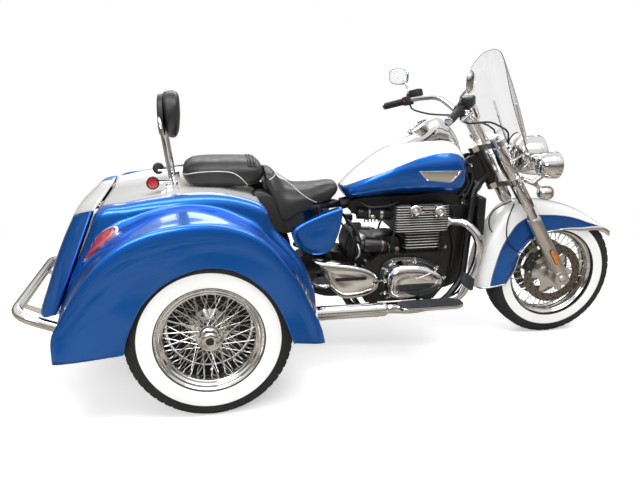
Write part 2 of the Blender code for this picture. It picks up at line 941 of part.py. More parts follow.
def trunk_section(y, dish, wall=0.0, reach=0.0):
    """A side view of the trunk at y, shrunk by wall and drawn out to the rear by reach."""
    low = trunk_floor_height + wall
    crown = spread(crown_shares, (split_top_x, split_top_height), (trunk_front_x, trunk_peak_height))
    ring = [(x - (wall if x > 0 else 0), y, z - wall - dish) for x, z in crown]
    top = ring[0][2]
    ring[0] = (split_x(top), y, top)
    ring += [(trunk_toe_x - wall, y, low), (split_x(low) - reach, y, low)]
    return ring + [(split_x(top) - reach, y, top)] if reach else ring


def trunk(look):
    outer = [trunk_section(trunk_half_width * y, trunk_dish_depth * dish) for y, dish in dish_shares]
    inner_width = trunk_half_width - trunk_thickness
    inner = [
        trunk_section(inner_width * y, trunk_dish_depth * dish, trunk_thickness, overrun)
        for y, dish in dish_shares
    ]
    body = cut(loft(outer), loft(inner), *hinge_notches())
    pieces = [body]
    for side in (-1, 1):
        far = hinge_half_width + hinge_length
        pieces.append(hinge_barrel(side, hinge_half_width, far))
        pieces.append(hinge_leaf(side, hinge_half_width, far, 1))
        pin_end = hinge_half_width - hinge_length + swing_gap
        pieces.append(hinge_barrel(side, pin_end, between(hinge_half_width, far, 0.5), hinge_pin_radius))
    node("trunk_body", joined(*pieces), look)


def hinge_place():
    """The lid's hinge axis, in the cut at the top skin."""
    return split_top_x - swing_gap / 2, split_top_height - trunk_dish_depth + hinge_radius / 2


def hinge_notches():
    """Room in both skins round the barrels of the two hinges."""
    pin_x, pin_height = hinge_place()
    low, high = hinge_half_width - hinge_length - swing_gap, hinge_half_width + hinge_length + swing_gap
    return [
        rod((pin_x, side * low, pin_height), (pin_x, side * high, pin_height), hinge_radius + hinge_gap, 12)
        for side in (-1, 1)
    ]


def hinge_barrel(side, near, far, radius=hinge_radius):
    pin_x, pin_height = hinge_place()
    return rod((pin_x, side * near, pin_height), (pin_x, side * far, pin_height), radius, 8)


def hinge_leaf(side, near, far, way):
    """The flat of a hinge, under the skin in front of the pin (way 1) or behind it (way -1)."""
    pin_x, pin_height = hinge_place()
    ends = sorted((side * (near + leaf_inset), side * (far - leaf_inset)))
    reach = sorted((pin_x, pin_x + way * hinge_leaf_length))
    low = pin_height - hinge_radius
    return block((reach[0], ends[0], low), (reach[1], ends[1], pin_height - hinge_pin_radius))


def lid_section(y, dish, squeeze, wall=0.0, reach=0.0):
    """A side view of the lid at y: its front lies along the cut, its rear bulges out."""
    ring = []
    top = split_top_height - dish - wall
    low = split_bottom_height + wall
    rows = spread(lid_rear_shares, (0, low), (lid_depth, top))
    for depth, height in rows:
        bulge = lid_bulge_depth * (1 - (y / lid_half_width) ** 2) if lid_half_width else 0
        ring.append((split_x(height) - swing_gap - depth * squeeze - bulge + wall, y, height))
    ring.append((split_x(top) - swing_gap, y, top))
    if reach:
        ring.append((split_x(top) - swing_gap + reach, y, top))
    ring.append((split_x(low) - swing_gap + reach, y, low))
    return ring


def trunk_lid(look):
    outer = [
        lid_section(lid_half_width * y, trunk_dish_depth * dish, squeeze) for y, dish, squeeze in lid_shares
    ]
    inner_width = lid_half_width - trunk_thickness
    inner = [
        lid_section(inner_width * y, trunk_dish_depth * dish, squeeze, trunk_thickness, overrun)
        for y, dish, squeeze in lid_shares
    ]
    lid = cut(loft(outer), loft(inner), *hinge_notches())
    pieces = [lid]
    bores = []
    near, far = hinge_half_width - hinge_length, hinge_half_width - fit
    for side in (-1, 1):
        pieces.append(hinge_barrel(side, near, far))
        pieces.append(hinge_leaf(side, near, far, -1))
        bores.append(hinge_barrel(side, near - overrun, far + overrun, hinge_pin_radius + 2 * fit))
    pin_x, pin_height = hinge_place()
    node("trunk_lid", cut(joined(*pieces), *bores), look, (pin_x, 0, pin_height))


def fender_row(shares, grow=0.0):
    """A section through the fender: from the trunk's edge over the crease and the bead to the arch."""
    degrees, arch_share, ridge_share, crease_share, edge_share = shares
    arch = fender_arch_radius * arch_share
    ridge = fender_ridge_radius * ridge_share + grow
    crease = fender_crease_radius * crease_share + grow
    edge = fender_edge_radius * edge_share + grow
    side = fender_side_half_width + grow
    inner = trunk_half_width + 2 * fit
    fold = fender_crease_half_width
    return [
        polar(0, edge, degrees, -inner),
        polar(0, edge - fender_thickness, degrees, -between(inner, fold, fender_roll_share)),
        polar(0, max(crease, edge - fender_step_height), degrees, -fold),
        polar(0, crease, degrees, -fold - fender_thickness),
        polar(0, (crease + ridge + fender_thickness) / 2, degrees, -(fold + side) / 2),
        polar(0, ridge - fender_thickness, degrees, -side + 3 * fender_bead_radius),
        polar(0, ridge + fender_bead_radius / 2, degrees, -side + 2 * fender_bead_radius),
        polar(0, ridge - fender_bead_radius, degrees, -side + fender_bead_radius / 2),
        polar(0, between(arch, ridge, fender_side_share), degrees, -side),
        polar(0, arch, degrees, -side + fender_bead_radius),
    ]


def fender(look):
    made = shell([fender_row(shares) for shares in fender_shares], fender_thickness, 0.0)
    made = node("rear_fender_right", made, look)
    mirrored(made, "rear_fender_left")


def tail_light(look):
    """A teardrop lens in its bezel, seated on the fender's rear shoulder."""
    rows = []
    for shares in fender_shares:
        row = fender_row(shares, fender_thickness / 2 + 3 * fit)
        sides = (fender_side_half_width, trunk_half_width)
        core = [polar(0, fender_arch_radius, shares[0], -side) for side in sides]
        rows.append(row[:-1] + core)
    plug = loft(rows)
    centre = polar(0, tail_light_radius, tail_light_angle, -tail_light_half_width)
    turn = Matrix.Rotation(-radians(tail_light_angle - 90), 4, "Y")
    bm = bmesh.new()
    radii = (tail_light_length / 2, tail_light_depth, tail_light_tall / 2)
    matrix = Matrix.Translation(centre) @ turn @ Matrix.Diagonal((*radii, 1.0))
    bmesh.ops.create_uvsphere(bm, u_segments=16, v_segments=8, radius=1.0, matrix=matrix)
    lamp = cut(object_of(bm), plug)
    lamp = node("taillight_right", lamp, look)
    mirrored(lamp, "taillight_left")


def two_sided(right):
    """The pieces of a right-hand list and their left-hand twins, as scratch objects."""
    twins = []
    for piece in right:
        twin = bpy.data.objects.new("twin", piece.data.copy())
        twin.data.transform(Matrix.Diagonal((1, -1, 1, 1)))
        twin.data.flip_normals()
        cutters.objects.link(twin)
        twins.append(twin)
    return right + twins


def backbone_ends():
    return raked(backbone_head_height), Vector((backbone_rear_x, 0, backbone_rear_height))


def frame(look):
    clear = (yoke_thickness / 2 + bearing_gap) * cos(rake)
    low, high = raked(lower_yoke_height + clear), raked(head_height - clear)
    front, rear = backbone_ends()
    seat = [
        (seat_rail_rear_x, -rail_half_width, seat_rail_height()),
        (seat_post_x, -rail_half_width, seat_rail_height()),
        (backbone_rear_x, 0, backbone_rear_height),
    ]
    side = [cradle_tube(rail_radius), tube(rounded(seat, bend_radius, 2), rail_radius * seat_rail_share)]
    crosses = [
        rod((x, -rail_half_width, height), (x, rail_half_width, height), rail_radius * cross_share, 8)
        for x, height in (
            (rail_rear_x + bend_radius, rail_height),
            (pivot_x, pivot_height),
            (seat_rail_rear_x + bend_radius, seat_rail_height()),
        )
    ]
    pieces = [rod(low, high, head_tube_radius, 16), rod(front, rear, backbone_radius, 8)]
    made = joined(*pieces, *two_sided(side), *crosses)
    bore = rod(raked(lower_yoke_height - clear), raked(head_height + clear), stem_radius + bearing_gap, 16)
    node("frame", cut(made, bore), look)


def cradle_tube(radius):
    """The right-hand tube from the head down, under the engine and up to the seat."""
    down = [
        raked(between(lower_yoke_height, head_height, head_overlap_share), 0, -stem_radius),
        (downtube_top_x, -downtube_half_width, downtube_top_height),
        (downtube_foot_x, -rail_half_width, downtube_foot_height),
        (downtube_foot_x - downtube_sweep, -rail_half_width, rail_height),
        (rail_rear_x, -rail_half_width, rail_height),
        (pivot_x, -rail_half_width, pivot_height),
        (seat_post_x, -rail_half_width, seat_rail_height()),
    ]
    return tube(rounded(down, bend_radius, 2), radius)


def cradle_plug():
    """Both cradle tubes grown by the fit, to seat what bolts on to them."""
    return two_sided([cradle_tube(rail_radius + fit)])


def seat_rail_height():
    return seat_base_height - fit - rail_radius


def rear_subframe(look):
    height = trunk_floor_height - fit - rail_radius
    rail = [
        (pivot_x - 2 * rail_radius, -subframe_front_half_width, height),
        (subframe_kink_x, -subframe_front_half_width, height),
        (subframe_kink_x - subframe_splay, -subframe_half_width, height),
        (subframe_rear_x, -subframe_half_width, height),
        (subframe_rear_x - subframe_drop, -subframe_half_width, bumper_mount_height),
    ]
    saddle_low = tyre_radius + axle_tube_radius + fit
    saddle = block(
        (-saddle_length / 2, -subframe_half_width - rail_radius, saddle_low),
        (saddle_length / 2, rail_radius - subframe_half_width, height),
    )
    side = [tube(rounded(rail, bend_radius, 2), rail_radius), saddle]
    crosses = [
        rod((x, -subframe_half_width, height), (x, subframe_half_width, height), rail_radius * cross_share, 8)
        for x in (subframe_kink_x - 2 * subframe_splay, subframe_rear_x + bend_radius)
    ]
    node("rear_subframe", joined(*two_sided(side), *crosses), look)


def rear_axle(look):
    end = rear_track / 2 - rear_hub_width / 2 - fit
    flange = rear_hub_radius
    half = [
        (axle_housing_radius, axle_housing_half_width),
        (axle_tube_radius, 2 * axle_housing_half_width),
        (axle_tube_radius, end - hub_flange),
        (flange, end - hub_flange),
        (flange, end),
        (0, end),
    ]
    profile = [(radius, -along) for radius, along in reversed(half)] + half
    node("rear_axle", turned(profile, (0, 0, tyre_radius), (0, 1, 0), 16), look)


def domed(outline, start, depth):
    """A cover whose outline shrinks as it comes out towards -Y."""
    centre_x = sum(x for x, _ in outline) / len(outline)
    centre_z = sum(z for _, z in outline) / len(outline)
    rings = []
    for depth_share, size_share in dome_shares:
        y = -start - depth * depth_share
        rings.append(
            [(between(centre_x, x, size_share), y, between(centre_z, z, size_share)) for x, z in outline]
        )
    return loft(rings)


def engine(look_case, look_barrel, look_cover):
    case = spread(case_shares, (engine_rear_x, engine_bottom_height), (engine_front_x, engine_top_height))
    body = plate(case, 2 * engine_half_width, upright(0))
    lugs = []
    for x in (engine_rear_x + 2 * lug_length, engine_front_x - 2 * lug_length):
        low = (x - lug_length / 2, -rail_half_width - lug_length / 3, rail_height)
        high = (x + lug_length / 2, lug_length / 3 - rail_half_width, engine_bottom_height + lug_length / 2)
        lugs.append(block(low, high))
    node("crankcase", cut(joined(body, *two_sided(lugs)), *cradle_plug()), look_case)
    base = engine_top_height + fit
    barrel = block(
        (barrel_rear_x, -barrel_half_width, base),
        (barrel_front_x, barrel_half_width, head_base_height + fin_thickness),
    )
    top = block(
        (head_rear_x, -head_half_width, head_base_height),
        (head_front_x, head_half_width, head_top_height),
    )
    pieces = [barrel, top]
    for i in range(barrel_fins):
        height = between(base, head_base_height, (i + barrel_fin_share) / barrel_fins)
        pieces.append(fin(barrel_rear_x, barrel_front_x, barrel_half_width, height))
    for i in range(head_fins):
        height = between(head_base_height, head_top_height, (i + head_fin_share) / head_fins)
        pieces.append(fin(head_rear_x, head_front_x, head_half_width, height))
    caps = []
    for x, height in ((cam_rear_x, cam_rear_height), (cam_front_x, cam_front_height)):
        face = -head_half_width
        caps.append(rod((x, face, height), (x, face - cam_cap_depth, height), cam_cap_radius))
    intake = rod(
        (head_rear_x + fin_reach, -intake_half_width, intake_height),
        (intake_rear_x, -intake_half_width, intake_height + fin_reach),
        intake_radius,
    )
    node("cylinders", joined(*pieces, *two_sided(caps + [intake])), look_barrel)
    outline = spread(
        clutch_shares,
        (clutch_cover_rear_x, clutch_cover_low_height),
        (clutch_cover_front_x, clutch_cover_top_height),
    )
    cover = node("engine_cover_right", domed(outline, engine_half_width + fit, cover_depth), look_cover)
    mirrored(cover, "engine_cover_left")


def fin(rear, front, half_width, height):
    low = (rear - fin_reach, -half_width - fin_reach, height - fin_thickness / 2)
    high = (front + fin_reach, half_width + fin_reach, height + fin_thickness / 2)
    return block(low, high)


def side_covers(look_chrome, look_paint):
    outline = spread(
        lower_cover_shares,
        (lower_cover_rear_x, lower_cover_low_height),
        (lower_cover_front_x, lower_cover_top_height),
    )
    depth = lower_cover_half_width - engine_half_width - fit
    cover = node("lower_cover_right", domed(outline, engine_half_width + fit, depth), look_chrome)
    mirrored(cover, "lower_cover_left")
    outline = spread(panel_shares, (panel_rear_x, panel_low_height), (panel_front_x, panel_top_height))
    start = rail_half_width + rail_radius + fit
    panel = node("side_panel_right", domed(outline, start, panel_half_width - start), look_paint)
    mirrored(panel, "side_panel_left")


def exhaust(look):
    reach = header_front_x - head_front_x
    path = [
        (head_front_x + fin_reach + fit, -port_half_width, port_height),
        (head_front_x + fin_reach + header_radius, -port_half_width, port_height),
        (
            between(head_front_x, header_front_x, header_turn_share),
            -(port_half_width + header_half_width) / 2,
            port_height,
        ),
        (header_front_x, -header_half_width, between(header_front_height, port_height, header_turn_share)),
        (header_front_x, -header_half_width, header_front_height),
        (header_front_x - reach / 2, -header_half_width, header_low_height + header_radius),
        (head_front_x - reach * header_foot_share, -header_half_width, header_low_height),
        (
            (silencer_front_x + head_front_x) / 2,
            -(header_half_width + silencer_half_width) / 2,
            header_low_height,
        ),
        (silencer_front_x + header_radius, -silencer_half_width, silencer_height),
        (silencer_front_x - header_radius, -silencer_half_width, silencer_height),
    ]
    pipe = tube(rounded(path, header_bend, 3), header_radius)
    length = silencer_front_x - silencer_end_x
    mouth = silencer_radius * mouth_share
    profile = [
        (0, 0),
        (header_radius + fit, 0),
        (silencer_radius, length * mouth_share / 4),
        (silencer_radius, length),
        (mouth, length),
        (mouth, length - silencer_radius),
        (0, length - silencer_radius),
    ]
    can = turned(profile, (silencer_front_x, -silencer_half_width, silencer_height), (-1, 0, 0), 16)
    pipe = node("exhaust_right", joined(pipe, can), look)
    mirrored(pipe, "exhaust_left")


def oil_cooler(look):
    rear = cooler_front_x - cooler_depth
    core = block(
        (rear, -cooler_half_width, cooler_low_height),
        (cooler_front_x, cooler_half_width, cooler_top_height),
        rim_lip,
    )
    lugs = []
    for height in (cooler_low_height + 2 * rail_radius, cooler_top_height - 2 * rail_radius):
        climb = (height - downtube_foot_height) / (downtube_top_height - downtube_foot_height)
        tube_x = between(downtube_foot_x, downtube_top_x, climb)
        low = (tube_x, rail_radius - cooler_half_width, height - rail_radius / 2)
        high = (rear + rim_lip, 2 * rail_radius - cooler_half_width, height + rail_radius / 2)
        lugs.append(block(low, high))
    node("oil_cooler", cut(joined(core, *two_sided(lugs)), *cradle_plug()), look)


def tank_rings(grow=0.0):
    rings = []
    for along, wide, low, top in tank_shares:
        x = between(tank_rear_x - grow, tank_front_x + grow, along)
        bottom = between(tank_low_height, tank_crest_height, low) - grow
        crest = between(tank_low_height, tank_crest_height, top) + grow
        rings.append(oval(x, tank_half_width * wide + grow, bottom, crest, tank_power))
    return rings


def fuel_tank(look, look_console):
    front, rear = backbone_ends()
    along = (front - rear).normalized()
    up = along.cross(Vector((0, -1, 0))).normalized() * -1
    place = Matrix((Vector((0, 1, 0)), up, Vector((0, 1, 0)).cross(up))).transposed().to_4x4()
    place.translation = (front + rear) / 2
    wide = (backbone_radius + fit) / cos(pi / 16)
    tunnel = [(wide * cos(angle), wide * sin(angle)) for angle in arc(0, 2, 8)]
    tunnel += [(-wide, -tunnel_depth), (wide, -tunnel_depth)]
    tank = cut(loft(tank_rings()), plate(tunnel, 2 * (front - rear).length, place))
    caps = [
        rod(
            (filler_x, -filler_y, filler_height - filler_radius),
            (
                filler_x + filler_rise * filler_tilt_share,
                -filler_y - filler_rise,
                filler_height + filler_rise,
            ),
            filler_radius,
            16,
        )
    ]
    node("fuel_tank", joined(tank, *caps), look)
    rings = []
    for along_share, wide_share, top_share in console_shares:
        x = between(console_rear_x, console_front_x, along_share)
        top = tank_crest_height + console_rise * top_share
        low = tank_crest_height - 2 * console_rise
        rings.append(oval(x, console_half_width * wide_share, low, top, console_power, 12))
    hood = cut(loft(rings), loft(tank_rings(fit)))
    dial = rod(
        (dial_x, 0, dial_height),
        (dial_x - dial_depth * dial_tilt_share, 0, dial_height + dial_depth),
        dial_radius,
        16,
    )
    node("tank_console", joined(hood, dial), look_console)


def seats(look):
    rings = []
    for along, wide, low, top in rider_shares:
        x = between(rider_seat_rear_x, rider_seat_front_x, along)
        bottom = between(rider_seat_low_height, rider_seat_top_height, low)
        crest = between(rider_seat_low_height, rider_seat_top_height, top)
        rings.append(oval(x, rider_seat_half_width * wide, bottom, crest, seat_power))
    channel = rail_half_width + rail_radius + fit
    under = block(
        (rider_seat_rear_x - overrun, -channel, rider_seat_low_height - overrun),
        (rider_seat_front_x + overrun, channel, seat_base_height),
    )
    node("rider_seat", cut(loft(rings), under, *panel_plugs()), look)
    rings = []
    for along, wide, low, top in pillion_shares:
        x = between(pillion_rear_x, rider_seat_rear_x - fit, along)
        bottom = between(pillion_low_height, pillion_top_height, low)
        crest = between(pillion_low_height, pillion_top_height, top)
        rings.append(oval(x, pillion_half_width * wide, bottom, crest, seat_power))
    node("passenger_seat", cut(loft(rings), trunk_plug()), look)


def panel_plugs():
    """The side panels' outlines grown by the fit and drawn out past the seat, to keep its flanks clear."""
    low = (panel_rear_x - 2 * fit, panel_low_height - 2 * fit)
    high = (panel_front_x + 2 * fit, panel_top_height + 2 * fit)
    inner = rail_half_width + rail_radius
    outer = rider_seat_half_width + overrun
    made = plate(spread(panel_shares, low, high), outer - inner, upright(-(inner + outer) / 2))
    return two_sided([made])


def trunk_plug():
    """The trunk's outside grown by the fit, to seat what stands on it."""
    rings = [
        trunk_section((trunk_half_width + fit) * y, trunk_dish_depth * dish, -2 * fit)
        for y, dish in dish_shares
    ]
    return loft(rings)


def backrest(look_bar, look_pad):
    hoop = [
        (sissy_foot_x, -sissy_half_width, trunk_peak_height),
        (
            between(sissy_foot_x, sissy_top_x, hoop_bend_share),
            -sissy_half_width,
            between(trunk_peak_height, sissy_top_height, hoop_bend_share),
        ),
        (sissy_top_x, -sissy_half_width, sissy_top_height),
        (sissy_top_x, 0, sissy_top_height + sissy_radius),
    ]
    side = rounded(hoop, bend_radius, 3)
    path = side + [Vector((x, -y, z)) for x, y, z in reversed(side[:-1])]
    foot = block(
        (
            sissy_foot_x - sissy_plate_length / 2,
            -sissy_half_width - sissy_radius * hoop_foot_share,
            trunk_peak_height - 2 * trunk_dish_depth,
        ),
        (
            sissy_foot_x + sissy_plate_length / 2,
            sissy_radius * hoop_foot_share - sissy_half_width,
            sissy_plate_height,
        ),
    )
    lamp = rod(
        (marker_x, -marker_half_width, marker_height),
        (marker_x, -marker_half_width - marker_depth, marker_height),
        marker_radius,
    )
    arm = block(
        (marker_x, -marker_half_width - marker_depth / 2, marker_height - sissy_radius),
        (sissy_foot_x, -sissy_half_width, marker_height + sissy_radius / 2),
    )
    made = joined(tube(path, sissy_radius), *two_sided([foot, lamp, arm]))
    node("backrest_bar", cut(made, trunk_plug()), look_bar)
    rear = sissy_top_x + sissy_radius + fit
    rings = []
    for along, size in backrest_shares:
        x = rear + backrest_depth * along
        middle = (backrest_low_height + backrest_top_height) / 2
        half = (backrest_top_height - backrest_low_height) / 2 * size
        rings.append(oval(x, backrest_half_width * size, middle - half, middle + half, backrest_power))
    node("backrest_pad", loft(rings), look_pad)


def bumper(look):
    rear = (bumper_x, -bumper_half_width, bumper_height)
    path = [
        (bumper_x + bumper_reach, -bumper_half_width, bumper_front_height),
        rear,
        (bumper_x, 0, bumper_height),
    ]
    side = rounded(path, bumper_corner, 4)
    whole = side + [Vector((x, -y, z)) for x, y, z in reversed(side[:-1])]
    front = subframe_rear_x - subframe_drop / 2
    outline = [
        (bumper_x, bumper_height - bumper_radius / 2),
        (bumper_x, bumper_height - bumper_radius * strap_drop_share),
        (between(bumper_x, front, strap_knee_share), bumper_mount_height - rail_radius / 2),
        (front, bumper_mount_height - rail_radius),
        (front, bumper_mount_height + rail_radius),
        (between(bumper_x, front, strap_knee_share), bumper_mount_height + rail_radius * strap_drop_share),
    ]
    y = -subframe_half_width - rail_radius - fit - bumper_plate / 2
    strap = plate(outline, bumper_plate, upright(y))
    node("rear_bumper", joined(tube(whole, bumper_radius, 10), *two_sided([strap])), look)


def footboards(look):
    low = board_height - board_thickness
    outer, inner = -board_half_width - board_width / 2, board_width / 2 - board_half_width
    board = block((board_front_x - board_length, outer, low), (board_front_x, inner, board_height), rim_lip)
    strap_top = rail_height - rail_radius / 2
    middle = board_front_x - board_length / 2
    strap = block(
        (middle - strap_width / 2, outer + 3 * rim_lip, strap_top - strap_thickness),
        (middle + strap_width / 2, rail_radius - rail_half_width, strap_top),
    )
    post = block(
        (middle - strap_width / 2, outer + 3 * rim_lip, strap_top - strap_thickness / 2),
        (middle + strap_width / 2, outer + 3 * rim_lip + strap_thickness, low + rim_lip),
    )
    lever = tube(
        [
            (board_front_x - 3 * rim_lip, inner - 3 * rim_lip, board_height - rim_lip),
            (pedal_x, inner - 3 * rim_lip, pedal_height),
        ],
        pedal_radius,
    )
    pad = block(
        (pedal_x - pedal_length / 2, outer + pedal_length / 2, pedal_height - pedal_radius),
        (pedal_x + pedal_length / 2, inner, pedal_height + pedal_radius),
    )
    made = node("footboard_right", cut(joined(board, strap, post, lever, pad), *cradle_plug()), look)
    mirrored(made, "footboard_left")


def front_fender(look):
    rows = []
    for degrees, wide, crest, low in front_fender_shares:
        half = front_fender_half_width * wide
        crest = front_fender_radius * crest
        low = low * tyre_radius
        row = []
        for across, up in front_fender_row_shares:
            row.append(polar(wheelbase, between(low, crest, up), degrees, half * across))
        rows.append(row)
    skin = shell(rows, front_fender_thickness, 0.0)
    stay = raked(stay_height, fork_offset, 0)
    ends = (fork_slider_radius - fork_spread + fit, -front_fender_half_width * front_fender_stay_share)
    pad = block(
        (stay.x - front_fender_stay, ends[0], stay.z - front_fender_stay),
        (stay.x + front_fender_stay, ends[1], stay.z + front_fender_stay),
    )
    node("front_fender", joined(skin, *two_sided([pad])), look, raked(head_height))


def lamp_body(centre, radius, depth, steps=16):
    """A lamp pointing along +X, its glass at the front."""
    profile = [(radius * r, depth * (a - 0.5)) for r, a in lamp_shares]
    return turned(profile, centre, (1, 0, 0), steps)


def headlight(look):
    bucket = lamp_body((headlight_x, 0, headlight_height), headlight_radius, headlight_depth)
    clear = (yoke_thickness / 2 + fit) * cos(rake)
    foot = raked(lower_yoke_height + clear, headlight_post_offset)
    top = raked(lower_yoke_height + clear + 2 * stem_radius, headlight_post_offset)
    arm = rod(
        top,
        (
            headlight_x - headlight_depth * lamp_arm_share,
            0,
            headlight_height - headlight_radius * lamp_arm_drop_share,
        ),
        stem_radius * cross_share,
    )
    node("headlight", joined(bucket, rod(foot, top, stem_radius), arm), look, raked(head_height))


def lamp_bar_at(y):
    drop = (yoke_thickness / 2 + fit + lamp_bar_radius) * cos(rake)
    return raked(lower_yoke_height - drop, lamp_bar_offset, y)


def light_bar(look):
    bar = rod(lamp_bar_at(-turn_half_width), lamp_bar_at(turn_half_width), lamp_bar_radius, 8)
    spot = lamp_body((spot_x, -spot_half_width, spot_height), spot_radius, spot_depth)
    stem_top = (spot_x, -spot_half_width, spot_height - spot_radius / 2)
    stem = rod(lamp_bar_at(-spot_half_width), stem_top, lamp_bar_radius, 8)
    turn_centre = (spot_x - turn_setback, -turn_half_width, turn_height)
    turn = lamp_body(turn_centre, turn_radius, turn_depth, 12)
    arm = rod(lamp_bar_at(-turn_half_width + lamp_bar_radius), turn_centre, lamp_bar_radius, 8)
    clear = (yoke_thickness / 2 + fit) * cos(rake)
    foot = rod(
        raked(lower_yoke_height - clear, headlight_post_offset),
        raked(lower_yoke_height - clear - 2 * lamp_bar_radius, headlight_post_offset),
        stem_radius,
    )
    node("light_bar", joined(bar, foot, *two_sided([spot, stem, turn, arm])), look, raked(head_height))


def screen_point(across, up, grow=0.0):
    """A point of the windshield: across from -1 to 1 of its width there, up from 0 to 1 of its height."""
    height = between(screen_low_height, screen_top_height, up)
    wide = screen_half_width * between_rows(screen_shares, up)
    y = wide * across
    x = between(screen_low_x, screen_top_x, up) + screen_bow * 4 * up * (1 - up)
    return Vector((x - screen_wrap * (y / screen_half_width) ** 2 + grow, y, height))


def between_rows(table, where):
    for (low, first), (high, second) in zip(table, table[1:]):
        if where <= high:
            return between(first, second, (where - low) / (high - low))
    return table[-1][1]


def screen_rows():
    return [[screen_point(across / 4, up) for across in range(-4, 5)] for up, _ in screen_shares]


def windshield(look):
    pane = shell(screen_rows(), screen_thickness, 0.0)
    notch = rod(
        (headlight_x - headlight_depth, 0, headlight_height),
        (headlight_x + headlight_depth, 0, headlight_height),
        headlight_radius + screen_notch,
        16,
    )
    low_block = block(
        (headlight_x - headlight_depth, -headlight_radius, screen_low_height - overrun),
        (headlight_x + headlight_depth, headlight_radius, headlight_height),
    )
    node("windshield", cut(pane, notch, low_block), look, raked(head_height))


def screen_back(across, up, gap):
    """A point behind the windshield, square to its face."""
    step = screen_normal_share
    sideways = screen_point(across + step, up) - screen_point(across - step, up)
    upward = screen_point(across, up + step) - screen_point(across, up - step)
    return screen_point(across, up) + sideways.cross(upward).normalized() * gap


def screen_mounts(look):
    """The brackets between the fork covers and the back of the windshield."""
    rows = [up for up, _ in screen_shares[1:4]]
    behind = -screen_thickness / 2 - screen_strip_radius - 2 * fit
    strip = [screen_back(screen_strip_share, up, behind) for up in rows]
    pieces = [tube(strip, screen_strip_radius)]
    for height, target in zip((screen_arm_low_height, screen_arm_high_height), strip):
        start = raked(height, fork_offset + fork_cover_radius + fit, -fork_spread)
        knee = raked(height, fork_offset + fork_cover_radius + 2 * screen_strip_radius, -fork_spread)
        pieces.append(rod(start, knee, screen_strip_radius))
        root = knee - Vector((screen_strip_radius / 2, 0, 0))
        pieces.append(rod(root, target, screen_strip_radius * cross_share, 8))
    made = node("screen_mount_right", joined(*pieces), look, raked(head_height))
    mirrored(made, "screen_mount_left")


def bar_center(y):
    return raked(bar_clamp_height, riser_offset, y)


def handlebar(look):
    half = [
        Vector((grip_end_x, -grip_end_half_width, grip_end_height)),
        Vector((grip_inner_x, -grip_inner_half_width, grip_inner_height)),
        Vector((bar_peak_x, -bar_peak_half_width, bar_peak_height)),
        bar_center(-2 * riser_half_width),
        bar_center(0),
    ]
    side = rounded(half, bend_radius, 3)
    path = side + [Vector((x, -y, z)) for x, y, z in reversed(side[:-1])]
    clear = (yoke_thickness / 2 + fit) * cos(rake)
    riser = rod(
        raked(head_height + clear, riser_offset, -riser_half_width),
        bar_center(-riser_half_width) + Vector((-sin(rake), 0, cos(rake))) * bar_radius,
        riser_radius,
    )
    node("handlebar", joined(tube(path, bar_radius), *two_sided([riser])), look, raked(head_height))


def grip_line():
    """The grip's inner end, its direction outwards and its length, on the right."""
    end = Vector((grip_end_x, -grip_end_half_width, grip_end_height))
    inner = Vector((grip_inner_x, -grip_inner_half_width, grip_inner_height))
    return inner, (end - inner).normalized(), (end - inner).length


def controls(look):
    """Grip, switch housing and lever, round the straight end of the bar."""
    inner, along, length = grip_line()
    bore = (bar_radius + fit) / cos(pi / 12)
    start = bend_radius * housing_start_share
    profile = [
        (bore, start),
        (housing_radius, start),
        (housing_radius, start + housing_length),
        (grip_radius, start + housing_length),
        (grip_radius, length + grip_radius / 2),
        (0, length + grip_radius / 2),
        (0, length + fit),
        (bore, length + fit),
    ]
    sleeve = turned(profile, inner, along, 12)
    forward = along.cross(Vector((0, 0, 1))).normalized()
    if forward.x < 0:
        forward = -forward
    hinge = inner + along * (start + housing_length / 2) + forward * housing_radius * lever_hinge_share
    tip = inner + along * length * lever_length_share + forward * lever_reach
    lever = tube(rounded([hinge, hinge + forward * lever_reach, tip], bend_radius, 2), lever_radius, 6)
    made = node("controls_right", joined(sleeve, lever), look, raked(head_height))
    mirrored(made, "controls_left")


def mirrors(look):
    inner, along, _ = grip_line()
    flat = Vector((along.x, along.y)).length
    rise = housing_radius / flat + mirror_stem_radius * abs(along.z) / flat + fit
    foot = inner + along * (bend_radius * housing_start_share + housing_length / 2) + Vector((0, 0, rise))
    centre = Vector((mirror_x, -mirror_half_width, mirror_height))
    route = [foot, foot + Vector((0, 0, mirror_rise)), centre + Vector((mirror_thick / 2, 0, 0))]
    stem = tube(rounded(route, bend_radius, 2), mirror_stem_radius, 6)
    rings = []
    for x_share, size in mirror_shares:
        x = centre.x - mirror_thick / 2 + mirror_thick * x_share
        low, high = centre.z - mirror_tall / 2 * size, centre.z + mirror_tall / 2 * size
        rings.append(oval(x, mirror_length / 2 * size, low, high, mirror_power, 16, centre.y))
    made = node("mirror_right", joined(loft(rings), stem), look, raked(head_height))
    mirrored(made, "mirror_left")


def cables(look):
    """The cable from each control, round the bars and down in front of the upper yoke to the lower one."""
    inner, along, _ = grip_line()
    start = bend_radius * housing_start_share
    root = inner + along * (start + housing_length / 3)
    down = along * along.z - Vector((0, 0, 1))
    clear = (yoke_thickness / 2 + fit) * cos(rake)
    foot = raked(lower_yoke_height + clear, cable_offset, -cable_half_width)
    lead = raked(lower_yoke_height + clear + cable_lead, cable_offset, -cable_half_width)
    path = [root] + spread(cable_shares, root + down.normalized() * cable_drop, lead) + [foot]
    plug = rod(
        inner + along * (start - fit),
        inner + along * (start + housing_length + fit),
        (housing_radius + fit) / cos(pi / 24),
        24,
    )
    made = cut(tube(rounded(path, bend_radius, 2), cable_radius), plug)
    made = node("control_cable_right", made, look, raked(head_height))
    mirrored(made, "control_cable_left")


